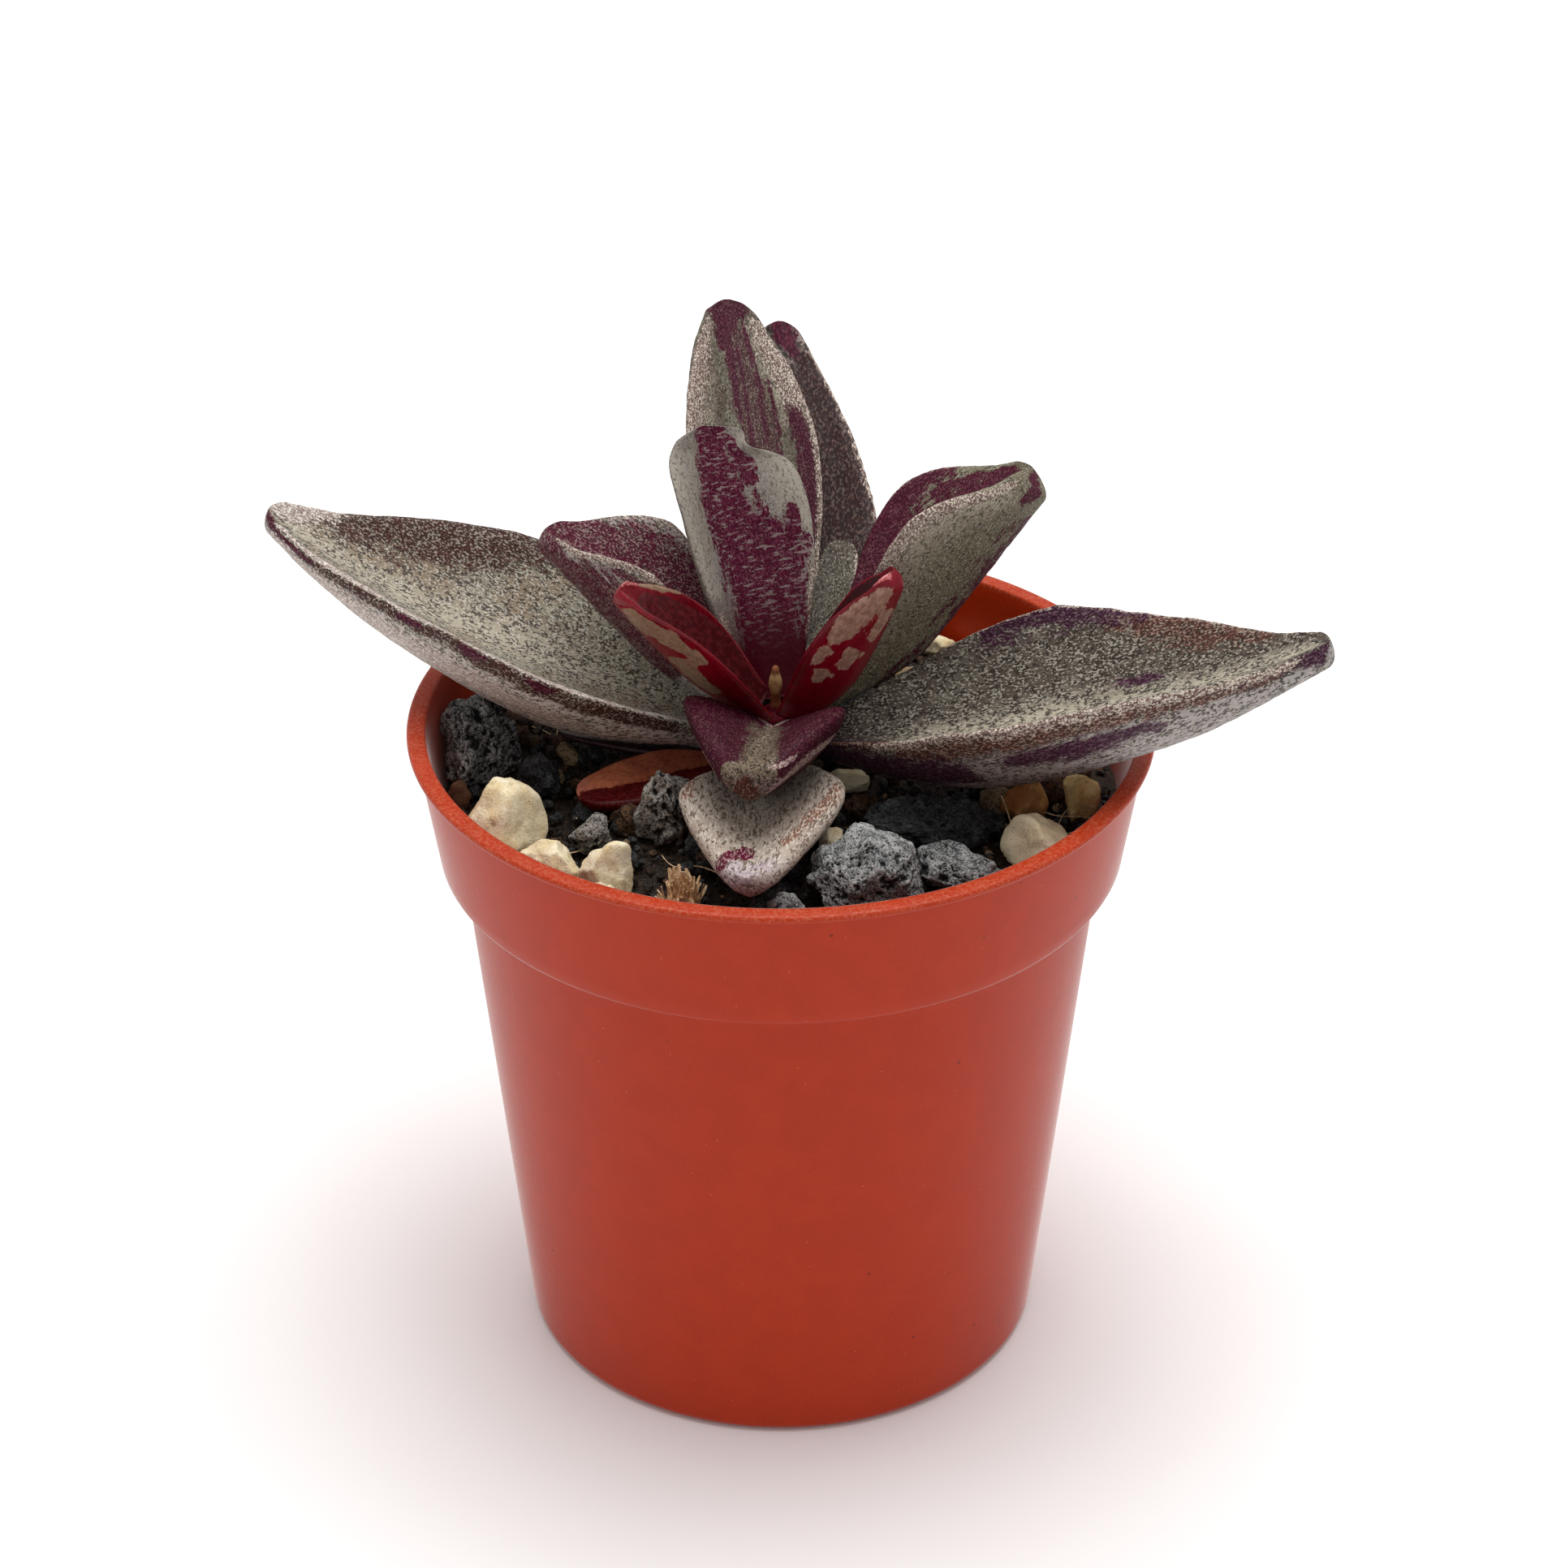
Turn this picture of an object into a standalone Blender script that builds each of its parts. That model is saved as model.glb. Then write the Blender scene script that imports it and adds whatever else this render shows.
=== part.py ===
"""Potted lenophyllum: a small guttate succulent in a 5.5 cm terracotta-coloured nursery pot.

The origin is the centre of the pot's underside, +Z is up and +X is the plant's right.
Driving dimensions are in millimetres and degrees; MM turns them into metres.
"""
import math

import bmesh
import bpy
import numpy as np
from mathutils import Matrix, Vector, noise

MM = 0.001

# Pot: a moulded nursery pot with a wide band and a small bead round its mouth
POT_HEIGHT = 51.0
POT_BASE_RADIUS = 19.7
POT_FOOT_ROUND = 1.0
POT_BODY_TOP_RADIUS = 23.8
BAND_BOTTOM = 40.8
BAND_BOTTOM_RADIUS = 25.45
BAND_TOP_RADIUS = 26.9
BEAD_RADIUS = 27.5
BEAD_HEIGHT = 0.6
POT_WALL = 0.8
POT_FLOOR = 1.2
POT_SIDES = 60
DRAIN_HOLES = 4
DRAIN_DIAMETER = 5.0
DRAIN_CIRCLE_RADIUS = 11.5

# Soil: fills the pot to a few millimetres below the mouth
GAP = 0.3
SOIL_LEVEL = 45.2
SOIL_RELIEF = 0.3
SOIL_SIDES = 44
SOIL_RINGS = 8

# Stem: it stands in a plain hole in the soil and ends in the growing tip
STEM_X = -0.4
STEM_Y = 1.0
STEM_RADIUS = 1.4
STEM_FOOT = 38.3
STEM_TOP = 51.0
TIP_HEIGHT = 54.8
STEM_SIDES = 20
STEM_HOLE_RADIUS = STEM_RADIUS + 0.35

# Leaves: rings along the midrib, points round each ring
LEAF_RINGS = 13
LEAF_AROUND = 14
SPINE_STEPS = 60
NOSE_RINGS = 3

# Leaf values that most leaves share
LEAF_DEFAULTS = dict(
    reach=2.0,        # from the stem's axis to the leaf's foot
    turn=0.0,         # change of heading from foot to tip
    lift=0.0,         # change of slope from foot to tip
    roll=0.0,         # turn about the leaf's own length
    twist=0.0,        # change of roll from foot to tip
    channel=0.6,      # depth of the channel over half the width
    channel_power=1.5,
    widest=0.45,      # where along the leaf it is widest
    flare=1.1,        # how late the foot widens
    taper=1.8,        # shape of the outline towards the tip
    point=0.8,        # sharpness of the tip
    nose=1.0,         # radius of the blunt end
    foot=2.4,         # width at the stem
    neck=1.0,         # thickness at the stem
)

# Each leaf: height of its foot, heading round the stem, slope at the foot, length, width, thickness
LEAVES = {
    "leaf_left_large": dict(height=49.1, heading=170, rise=12, lift=21, turn=-3, length=38.6, width=17.0,
                            thick=4.5, roll=5, channel_power=1.7, widest=0.44, taper=1.5, point=0.98),
    "leaf_right_large": dict(height=48.9, heading=-18, rise=11, lift=21, turn=-2, length=41.5, width=16.0,
                             thick=4.8, roll=-7, twist=2, channel=0.65, channel_power=1.7, widest=0.47,
                             taper=1.3, point=1.0, reach=2.1),
    "leaf_back_tall": dict(height=50.0, heading=97, rise=38, lift=12, turn=3, length=32.5, width=10.2,
                           thick=2.6, roll=-4, twist=-6, channel=0.64, channel_power=1.65, widest=0.58,
                           taper=1.9, flare=0.9, reach=2.3),
    "leaf_back_low": dict(height=48.2, heading=87, rise=25, lift=17, turn=5, length=35.5, width=14.5,
                          thick=3.0, roll=-10, twist=-4, channel=0.4, channel_power=1.6, widest=0.41,
                          taper=1.6, point=0.9, reach=2.3),
    "leaf_back_small": dict(height=49.6, heading=65.5, rise=31, turn=14, length=15.0, width=4.0, thick=1.1,
                            channel=0.3, flare=1.6, neck=0.6, foot=1.0, reach=3.0),
    "leaf_back_inner": dict(height=51.77, heading=110, rise=54.5, turn=8, length=20.1, width=11.2,
                            thick=1.9, roll=-14, twist=2, channel_power=1.45, widest=0.7, taper=2.5,
                            point=0.66, flare=1.0),
    "leaf_left_middle": dict(height=50.37, heading=160.5, rise=43.5, lift=-3, turn=16, length=20.4,
                             width=10.8, thick=2.6, roll=-6, twist=-2, channel=1.0, widest=0.63,
                             taper=1.4, point=0.85, flare=2.8, reach=2.2),
    "leaf_right_middle": dict(height=50.5, heading=22, rise=51, lift=-9, turn=-17, length=24.9,
                              width=10.4, thick=4.4, roll=12, twist=5, channel=1.0, channel_power=1.45,
                              widest=0.67, taper=1.65, flare=3.0, reach=2.3),
    "leaf_left_red": dict(height=52.0, heading=211, rise=50.5, lift=-3, turn=6, length=17.2, width=5.4,
                          thick=2.0, roll=29, channel=0.9, channel_power=1.3, widest=0.5, taper=1.7,
                          point=0.83, flare=1.4, nose=0.8, foot=2.0, neck=0.9, reach=1.9),
    "leaf_right_red": dict(height=52.0, heading=-28, rise=58.5, lift=2.5, turn=3, length=15.0, width=5.4,
                           thick=2.4, roll=-9, twist=6, channel=0.84, channel_power=1.45, widest=0.51,
                           taper=1.85, flare=1.2, nose=0.8, foot=2.0, neck=0.9, reach=1.9),
    "leaf_front_upper": dict(height=50.9, heading=-96, rise=21, lift=-7, turn=-2, length=15.0, width=11.7,
                             thick=4.1, roll=4, twist=-7, widest=0.44, taper=1.5, point=0.84),
    "leaf_front_lower": dict(height=48.2, heading=-94.5, rise=4, lift=3, turn=-1, length=20.1, width=12.0,
                             thick=3.4, roll=-3, channel=0.45, widest=0.5, point=0.85),
    "leaf_soil_left": dict(height=47.8, heading=204, rise=-2, lift=3, length=13.6, width=5.6, thick=2.2,
                           roll=10, channel=0.15, widest=0.5, flare=1.7, foot=1.2, neck=0.7, reach=2.2),
    "leaf_soil_shaded": dict(height=47.6, heading=166, rise=-1, lift=1, length=14.6, width=4.8, thick=1.2,
                             channel=0.1, flare=1.6, foot=1.2, neck=0.7, reach=2.2),
}

# Stones on the soil: centre x, y, size along x, y, z, turn about z, seed, and faces (2 plain, 3 fine)
LAVA = {
    "lava_left": (-22.2, 2.8, 5.4, 7.0, 5.0, 0, 3, 3),
    "lava_left_inner": (-17.9, -1.2, 3.2, 4.2, 2.4, 10, 5, 2),
    "lava_front": (5.9, -15.9, 8.0, 6.2, 5.2, 0, 7, 3),
    "lava_flat": (12.9, -14.4, 7.0, 4.4, 2.6, -20, 8, 2),
    "lava_dark": (11.2, -8.1, 10.0, 4.2, 2.6, 4, 9, 2),
    "lava_porous": (-8.6, -7.5, 4.0, 3.6, 5.3, 20, 11, 3),
    "lava_grey": (-13.6, -8.9, 3.2, 3.0, 2.3, 60, 12, 2),
    "lava_back_left": (-14.5, 15.0, 8.0, 6.0, 4.4, 30, 13, 2),
    "lava_back": (-3.0, 20.5, 6.6, 5.4, 1.9, 0, 14, 2),
    "lava_back_right": (17.6, 9.0, 7.0, 6.0, 4.2, -35, 15, 2),
    "lava_front_small": (0.4, -18.8, 2.8, 2.4, 2.0, 20, 16, 2),
}
PEBBLES = {
    "pebble_left": (-20.1, -8.7, 6.0, 5.0, 5.2, 20, 21, 3),
    "pebble_front_left": (-16.6, -13.0, 5.0, 3.4, 2.8, -30, 22, 2),
    "pebble_front": (-12.2, -14.9, 4.0, 3.4, 4.0, 10, 23, 3),
    "pebble_chip": (-12.6, -17.9, 2.4, 1.8, 2.4, 0, 24, 2),
    "pebble_brown": (-23.7, -2.6, 2.0, 1.8, 1.8, 30, 25, 2),
    "pebble_right": (18.3, -11.6, 5.4, 4.0, 4.2, -30, 26, 3),
    "pebble_orange": (17.9, -4.6, 3.2, 2.8, 3.2, 40, 27, 2),
    "pebble_yellow": (22.0, -4.2, 2.8, 2.8, 3.0, 10, 28, 2),
    "pebble_shaded": (4.9, -0.7, 3.4, 2.4, 1.4, 10, 29, 2),
    "pebble_middle": (3.6, -9.0, 2.4, 2.2, 1.4, 35, 33, 2),
    "pebble_back_right": (12.6, 19.8, 2.4, 2.2, 1.6, 35, 30, 2),
    "pebble_back_chip": (15.2, 18.9, 1.8, 1.6, 1.2, 0, 31, 2),
    "pebble_back_left": (-6.8, 14.2, 3.4, 2.8, 1.8, 15, 32, 2),
}

# Dried tuft: the withered foot of an old leaf rosette
TUFT_X = -7.0
TUFT_Y = -17.1
TUFT_RADIUS = 1.5
TUFT_HEIGHT = 3.4
TUFT_BLADES = 9

COLOURS = {
    "terracotta_plastic": ((0.42, 0.085, 0.045), 0.42),
    "soil": ((0.02, 0.015, 0.012), 0.95),
    "stem": ((0.30, 0.12, 0.07), 0.55),
    "leaf_khaki": ((0.24, 0.20, 0.13), 0.62),
    "leaf_purple": ((0.12, 0.035, 0.05), 0.5),
    "leaf_red": ((0.30, 0.01, 0.02), 0.3),
    "leaf_brown": ((0.25, 0.07, 0.03), 0.5),
    "lava": ((0.06, 0.07, 0.085), 0.95),
    "pebble": ((0.55, 0.47, 0.31), 0.85),
    "dry_leaf": ((0.40, 0.26, 0.13), 0.9),
}
LEAF_MATERIAL = {
    "leaf_left_middle": "leaf_purple",
    "leaf_back_inner": "leaf_purple",
    "leaf_front_upper": "leaf_purple",
    "leaf_soil_shaded": "leaf_purple",
    "leaf_left_red": "leaf_red",
    "leaf_right_red": "leaf_red",
    "leaf_soil_left": "leaf_brown",
}


def clear_scene():
    for old in list(bpy.data.objects):
        bpy.data.objects.remove(old, do_unlink=True)


def material(name):
    """A Principled material with one colour and roughness."""
    found = bpy.data.materials.get(name)
    if found:
        return found
    colour, rough = COLOURS[name]
    made = bpy.data.materials.new(name)
    made.use_nodes = True
    shader = made.node_tree.nodes["Principled BSDF"]
    shader.inputs["Base Color"].default_value = (*colour, 1.0)
    shader.inputs["Roughness"].default_value = rough
    shader.inputs["Metallic"].default_value = 0.0
    made.diffuse_color = (*colour, 1.0)
    return made


def add_object(name, points, faces, material_name, sharp_angle=40.0):
    """A named object from points in millimetres."""
    mesh = bpy.data.meshes.new(name)
    mesh.from_pydata([tuple(MM * float(c) for c in p) for p in points], [], faces)
    build = bmesh.new()
    build.from_mesh(mesh)
    bmesh.ops.recalc_face_normals(build, faces=build.faces)
    build.to_mesh(mesh)
    build.free()
    mesh.shade_smooth()
    mesh.set_sharp_from_angle(angle=math.radians(sharp_angle))
    mesh.materials.append(material(material_name))
    made = bpy.data.objects.new(name, mesh)
    bpy.context.scene.collection.objects.link(made)
    return made


def turned(profile, sides, centre=(0.0, 0.0)):
    """Points and faces of an outline of (radius, z) turned about a vertical axis; ends at radius 0 are poles."""
    points = []
    rows = []
    for radius, z in profile:
        if radius == 0.0:
            rows.append([len(points)])
            points.append((centre[0], centre[1], z))
            continue
        rows.append(list(range(len(points), len(points) + sides)))
        for k in range(sides):
            turn = 2 * math.pi * k / sides
            points.append((centre[0] + radius * math.cos(turn), centre[1] + radius * math.sin(turn), z))
    return points, join_rows(rows, sides)


def join_rows(rows, sides):
    """Faces between neighbouring rings of points, with a fan wherever a ring is one point."""
    faces = []
    for low, high in zip(rows, rows[1:]):
        for k in range(sides):
            j = (k + 1) % sides
            if len(low) == 1:
                faces.append((low[0], high[k], high[j]))
            elif len(high) == 1:
                faces.append((low[k], high[0], low[j]))
            else:
                faces.append((low[k], high[k], high[j], low[j]))
    return faces


def arc(centre_r, centre_z, radius, start, end, steps):
    """Points (r, z) on an arc, both ends included; angles in degrees."""
    out = []
    for i in range(steps + 1):
        a = math.radians(start + (end - start) * i / steps)
        out.append((centre_r + radius * math.cos(a), centre_z + radius * math.sin(a)))
    return out


def slanted(radius_low, z_low, radius_high, z_high, z):
    """Radius of a cone's wall at a height."""
    return radius_low + (radius_high - radius_low) * (z - z_low) / (z_high - z_low)


def band_inner_radius(z):
    return slanted(BAND_BOTTOM_RADIUS, BAND_BOTTOM, BAND_TOP_RADIUS, POT_HEIGHT, z) - POT_WALL


def body_inner_radius(z):
    return slanted(POT_BASE_RADIUS, 0.0, POT_BODY_TOP_RADIUS, BAND_BOTTOM, z) - POT_WALL


def make_pot():
    """A thin wall turned in one piece, then the drain holes cut through its floor."""
    bead_low = POT_HEIGHT - BEAD_HEIGHT
    bead_round = BEAD_HEIGHT / 2
    ledge = BAND_BOTTOM + POT_WALL
    mouth = band_inner_radius(POT_HEIGHT)
    outer = [(0.0, 0.0)]
    outer += arc(POT_BASE_RADIUS - POT_FOOT_ROUND, POT_FOOT_ROUND, POT_FOOT_ROUND, -90, 0, 3)
    outer += [(POT_BODY_TOP_RADIUS, BAND_BOTTOM - 0.25), (POT_BODY_TOP_RADIUS + 0.25, BAND_BOTTOM)]
    outer += [(BAND_BOTTOM_RADIUS - 0.3, BAND_BOTTOM), (BAND_BOTTOM_RADIUS, BAND_BOTTOM + 0.3)]
    outer += [(BAND_TOP_RADIUS, bead_low)]
    outer += arc(BEAD_RADIUS - bead_round, bead_low + bead_round, bead_round, -60, 90, 4)
    inner = [(mouth + 0.2, POT_HEIGHT), (mouth, POT_HEIGHT - 0.2)]
    inner += [(band_inner_radius(ledge + 0.3), ledge + 0.3), (band_inner_radius(ledge) - 0.3, ledge)]
    inner += [(body_inner_radius(ledge), ledge - 0.2)]
    inner += [(body_inner_radius(POT_FLOOR + 0.8), POT_FLOOR + 0.8)]
    inner += [(body_inner_radius(POT_FLOOR) - 0.8, POT_FLOOR), (0.0, POT_FLOOR)]
    points, faces = turned(outer + inner, POT_SIDES)
    pot = add_object("pot", points, faces, "terracotta_plastic", 50.0)
    for k in range(DRAIN_HOLES):
        turn = 2 * math.pi * (k + 0.5) / DRAIN_HOLES
        cutter = drain_cutter(k, DRAIN_CIRCLE_RADIUS * math.cos(turn), DRAIN_CIRCLE_RADIUS * math.sin(turn))
        cut = pot.modifiers.new("drain_%d" % (k + 1), "BOOLEAN")
        cut.operation = "DIFFERENCE"
        cut.solver = "EXACT"
        cut.object = cutter
    return pot


def drain_cutter(number, x, y):
    radius = DRAIN_DIAMETER / 2
    profile = [(0.0, -1.0), (radius, -1.0), (radius, POT_FLOOR + 1.0), (0.0, POT_FLOOR + 1.0)]
    points, faces = turned(profile, 16, (x, y))
    cutter = add_object("drain_cutter_%d" % (number + 1), points, faces, "terracotta_plastic")
    cutter.hide_render = True
    cutter.display_type = "WIRE"
    return cutter


def soil_height(x, y):
    """The surface of the soil: low waves of grit round a mean level."""
    waves = math.sin(0.34 * x + 1.3) * math.cos(0.30 * y - 0.4) + 0.6 * math.sin(0.42 * x - 0.38 * y + 2.0)
    return SOIL_LEVEL + SOIL_RELIEF * waves / 1.6


def make_soil():
    """A plug that follows the pot's inner wall, with a plain hole for the stem."""
    ledge = BAND_BOTTOM + POT_WALL
    floor = POT_FLOOR + GAP
    side = [(body_inner_radius(floor + 1.0) - GAP - 1.2, floor), (body_inner_radius(floor + 1.0) - GAP, floor + 1.0),
            (body_inner_radius(ledge - 0.6) - GAP, ledge - 0.6), (body_inner_radius(ledge) - GAP, ledge + GAP + 0.1),
            (band_inner_radius(ledge + 1.2) - GAP - 0.1, ledge + 1.2)]
    points = [(0.0, 0.0, floor)]
    rows = [[0]]
    for radius, z in side:
        rows.append(list(range(len(points), len(points) + SOIL_SIDES)))
        for k in range(SOIL_SIDES):
            turn = 2 * math.pi * k / SOIL_SIDES
            points.append((radius * math.cos(turn), radius * math.sin(turn), z))
    edge = band_inner_radius(SOIL_LEVEL) - GAP - 0.1
    for i in range(SOIL_RINGS + 1):
        inward = i / SOIL_RINGS
        rows.append(list(range(len(points), len(points) + SOIL_SIDES)))
        for k in range(SOIL_SIDES):
            turn = 2 * math.pi * k / SOIL_SIDES
            wall = Vector((edge * math.cos(turn), edge * math.sin(turn)))
            hole = Vector((STEM_X + STEM_HOLE_RADIUS * math.cos(turn), STEM_Y + STEM_HOLE_RADIUS * math.sin(turn)))
            spot = wall.lerp(hole, inward)
            points.append((spot.x, spot.y, soil_height(spot.x, spot.y)))
    rows.append(list(range(len(points), len(points) + SOIL_SIDES)))
    for k in range(SOIL_SIDES):
        turn = 2 * math.pi * k / SOIL_SIDES
        points.append((STEM_X + STEM_HOLE_RADIUS * math.cos(turn), STEM_Y + STEM_HOLE_RADIUS * math.sin(turn),
                       STEM_FOOT - GAP))
    rows.append([len(points)])
    points.append((STEM_X, STEM_Y, STEM_FOOT - GAP))
    return add_object("soil", points, join_rows(rows, SOIL_SIDES), "soil", 60.0)


def make_stem():
    """A short stem, with the growing tip as a small knob on a thin neck."""
    profile = [(0.0, STEM_FOOT), (STEM_RADIUS - 0.3, STEM_FOOT), (STEM_RADIUS, STEM_FOOT + 0.4),
               (STEM_RADIUS, STEM_TOP - 0.5), (STEM_RADIUS - 0.25, STEM_TOP), (0.6, STEM_TOP + 0.25),
               (0.44, STEM_TOP + 0.8), (0.42, STEM_TOP + 1.5), (0.6, STEM_TOP + 2.0), (0.64, STEM_TOP + 2.5),
               (0.45, STEM_TOP + 2.95), (0.3, STEM_TOP + 3.1), (0.31, TIP_HEIGHT - 0.3), (0.18, TIP_HEIGHT - 0.05),
               (0.0, TIP_HEIGHT)]
    points, faces = turned(profile, STEM_SIDES, (STEM_X, STEM_Y))
    return add_object("stem", points, faces, "stem")


def leaf_spine(leaf):
    """Points along the midrib, with the leaf's forward, upward and sideways directions."""
    t = np.linspace(0.0, 1.0, SPINE_STEPS)
    heading = np.radians(leaf["heading"] + leaf["turn"] * t)
    slope = np.radians(leaf["rise"] + leaf["lift"] * t)
    forward = np.stack([np.cos(slope) * np.cos(heading), np.cos(slope) * np.sin(heading), np.sin(slope)], -1)
    level = np.stack([-np.sin(slope) * np.cos(heading), -np.sin(slope) * np.sin(heading), np.cos(slope)], -1)
    start = math.radians(leaf["heading"])
    foot = np.array([STEM_X + leaf["reach"] * math.cos(start), STEM_Y + leaf["reach"] * math.sin(start),
                     leaf["height"]])
    steps = (forward[1:] + forward[:-1]) / 2 * leaf["length"] / (SPINE_STEPS - 1)
    points = foot + np.vstack([[0.0, 0.0, 0.0], np.cumsum(steps, 0)])
    roll = np.radians(leaf["roll"] + leaf["twist"] * t)[:, None]
    side = np.cross(level, forward)
    upward = level * np.cos(roll) + side * np.sin(roll)
    sideways = side * np.cos(roll) - level * np.sin(roll)
    return t, points, upward, sideways


def nose_cap(t, leaf):
    """1 along the leaf, falling to 0 as a quarter circle over its blunt end."""
    start = 1.0 - leaf["nose"] / leaf["length"]
    q = np.clip((t - start) / (1.0 - start), 0.0, 1.0)
    return math.sqrt(1.0 - q * q)


def half_width(t, leaf):
    foot = leaf["foot"] / leaf["width"]
    if t < leaf["widest"]:
        share = foot + (1.0 - foot) * math.sin(math.pi / 2 * t / leaf["widest"]) ** leaf["flare"]
    else:
        q = (t - leaf["widest"]) / (1.0 - leaf["widest"])
        blunt = 2.0 * leaf["nose"] / leaf["width"]
        share = blunt + (1.0 - blunt) * (1.0 - q ** leaf["taper"]) ** leaf["point"]
    return leaf["width"] / 2 * share * nose_cap(t, leaf)


def thickness(t, leaf):
    neck = leaf["neck"] / leaf["thick"]
    grow = neck + (1.0 - neck) * math.sin(math.pi / 2 * min(t / 0.4, 1.0))
    fall = 1.0 - 0.5 * max((t - 0.35) / 0.65, 0.0) ** 1.5
    return leaf["thick"] * grow * fall * nose_cap(t, leaf)


def leaf_section(t, leaf, around):
    """One cross-section: sideways and upward offsets, channelled above and swollen below."""
    width = half_width(t, leaf)
    deep = min(thickness(t, leaf), 2.2 * width)
    fade = 1.0 if t < 0.55 else max(1.0 - ((t - 0.55) / 0.45) ** 3, 0.55)
    edge_round = min(0.32 * deep, 0.9)
    offsets = []
    for k in range(around):
        turn = 2 * math.pi * k / around
        u = math.cos(turn)
        camber = leaf["channel"] * fade * width * abs(u) ** leaf["channel_power"]
        if math.sin(turn) >= -1e-9:
            edge = max((abs(u) - 0.8) / 0.2, 0.0)
            z = camber - edge_round * (1.0 - math.sqrt(max(1.0 - edge * edge, 0.0)))
        else:
            z = camber - edge_round - (deep - edge_round) * math.sqrt(max(1.0 - u * u, 0.0))
        offsets.append((u * width, z))
    return offsets


def leaf_stations(leaf, rings):
    """Places of the rings: even along the blade, then close together over the blunt end."""
    nose = leaf["nose"] / leaf["length"]
    blade = [(1.0 - (1.0 - a) ** 1.2) * (1.0 - nose) for a in np.linspace(0.0, 1.0, rings - NOSE_RINGS)]
    turns = np.linspace(0.0, math.pi / 2, NOSE_RINGS + 2)[1:-1]
    return blade + [1.0 - nose + nose * math.sin(a) for a in turns]


def make_leaf(name, values):
    """A thick channelled leaf: a closed skin through its rings, with a flat foot and a blunt tip."""
    leaf = dict(LEAF_DEFAULTS)
    leaf.update(values)
    t, spine, upward, sideways = leaf_spine(leaf)
    points = []
    rows = []
    for station in leaf_stations(leaf, LEAF_RINGS):
        centre = np.array([np.interp(station, t, spine[:, i]) for i in range(3)])
        up = np.array([np.interp(station, t, upward[:, i]) for i in range(3)])
        side = np.array([np.interp(station, t, sideways[:, i]) for i in range(3)])
        up /= np.linalg.norm(up)
        side /= np.linalg.norm(side)
        rows.append(list(range(len(points), len(points) + LEAF_AROUND)))
        for across, high in leaf_section(station, leaf, LEAF_AROUND):
            points.append(centre + side * across + up * high)
    foot = np.mean(points[:LEAF_AROUND], axis=0)
    last = np.mean(points[-LEAF_AROUND:], axis=0)
    tip = spine[-1] + upward[-1] * np.dot(last - spine[-1], upward[-1])
    rows = [[len(points)]] + rows + [[len(points) + 1]]
    points += [foot, tip]
    return add_object(name, points, join_rows(rows, LEAF_AROUND), LEAF_MATERIAL.get(name, "leaf_khaki"))


def stone_radius(direction, planes, seed, roughness):
    """A lump cut by planes: the nearest plane in this direction, with some noise."""
    near = 1.25
    for normal, distance in planes:
        facing = direction.dot(normal)
        if facing > 0.05:
            near = min(near, distance / facing)
    wobble = noise.noise(direction * 1.9 + Vector((seed * 3.7, seed * 1.3, seed * 2.1)))
    return near * (1.0 + roughness * wobble)


def make_stone(name, values, material_name, roughness):
    """A broken stone that rests on the soil, flat where it meets it."""
    x, y, size_x, size_y, size_z, turn, seed, faces = values
    random = np.random.default_rng(seed)
    planes = []
    for _ in range(11):
        normal = Vector(random.normal(size=3)).normalized()
        planes.append((normal, float(random.uniform(0.72, 0.98))))
    build = bmesh.new()
    bmesh.ops.create_icosphere(build, subdivisions=faces, radius=1.0)
    for vert in build.verts:
        direction = vert.co.normalized()
        vert.co = direction * stone_radius(direction, planes, seed, roughness)
    low = Vector([min(v.co[i] for v in build.verts) for i in range(3)])
    high = Vector([max(v.co[i] for v in build.verts) for i in range(3)])
    spin = Matrix.Rotation(math.radians(turn), 3, "Z")
    size = Vector((size_x, size_y, size_z * 1.35))
    for vert in build.verts:
        shape = Vector([(vert.co[i] - low[i]) / (high[i] - low[i]) - 0.5 for i in range(3)])
        place = spin @ Vector([shape[i] * size[i] for i in range(3)])
        place += Vector((x, y, 0.0))
        seat = soil_height(place.x, place.y) + GAP
        place.z += seat + size_z * 1.35 / 2 - size_z * 0.35
        buried = min(place.z - seat, 0.0)
        place.z = max(place.z, seat) + 0.02 * buried
        vert.co = place
    bmesh.ops.triangulate(build, faces=build.faces)
    points = [tuple(v.co) for v in build.verts]
    triangles = [tuple(v.index for v in f.verts) for f in build.faces]
    build.free()
    return add_object(name, points, triangles, material_name, 35.0)


def make_tuft():
    """A withered rosette foot: a ribbed cup of dry blades that lean outward."""
    sides = 4 * TUFT_BLADES
    rows = []
    points = []
    seat = max(soil_height(TUFT_X + dx, TUFT_Y + dy) for dx in (-1.2, 0.0, 1.2) for dy in (-1.2, 0.0, 1.2)) + 0.25
    outline = [(0.55, 0.0, 0.1), (0.8, 0.25, 0.3), (0.85, 0.55, 0.5), (1.0, 0.9, 1.0), (0.8, 1.0, 1.0),
               (0.55, 0.6, 0.6), (0.3, 0.35, 0.2)]
    for radius, high, deep in outline:
        rows.append(list(range(len(points), len(points) + sides)))
        for k in range(sides):
            turn = 2 * math.pi * k / sides
            blade = math.cos(TUFT_BLADES * turn)
            tall = high * (1.0 + 0.28 * deep * blade + 0.2 * deep * math.sin(2 * turn + 0.6))
            wide = radius * (1.0 + 0.16 * deep * blade)
            points.append((TUFT_X + TUFT_RADIUS * wide * math.cos(turn),
                           TUFT_Y + TUFT_RADIUS * wide * math.sin(turn), seat + TUFT_HEIGHT * tall / 1.3))
    bottom = len(points)
    points.append((TUFT_X, TUFT_Y, seat))
    points.append((TUFT_X, TUFT_Y, seat + 0.3 * TUFT_HEIGHT))
    rows = [[bottom]] + rows + [[bottom + 1]]
    return add_object("dried_tuft", points, join_rows(rows, sides), "dry_leaf", 30.0)


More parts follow.
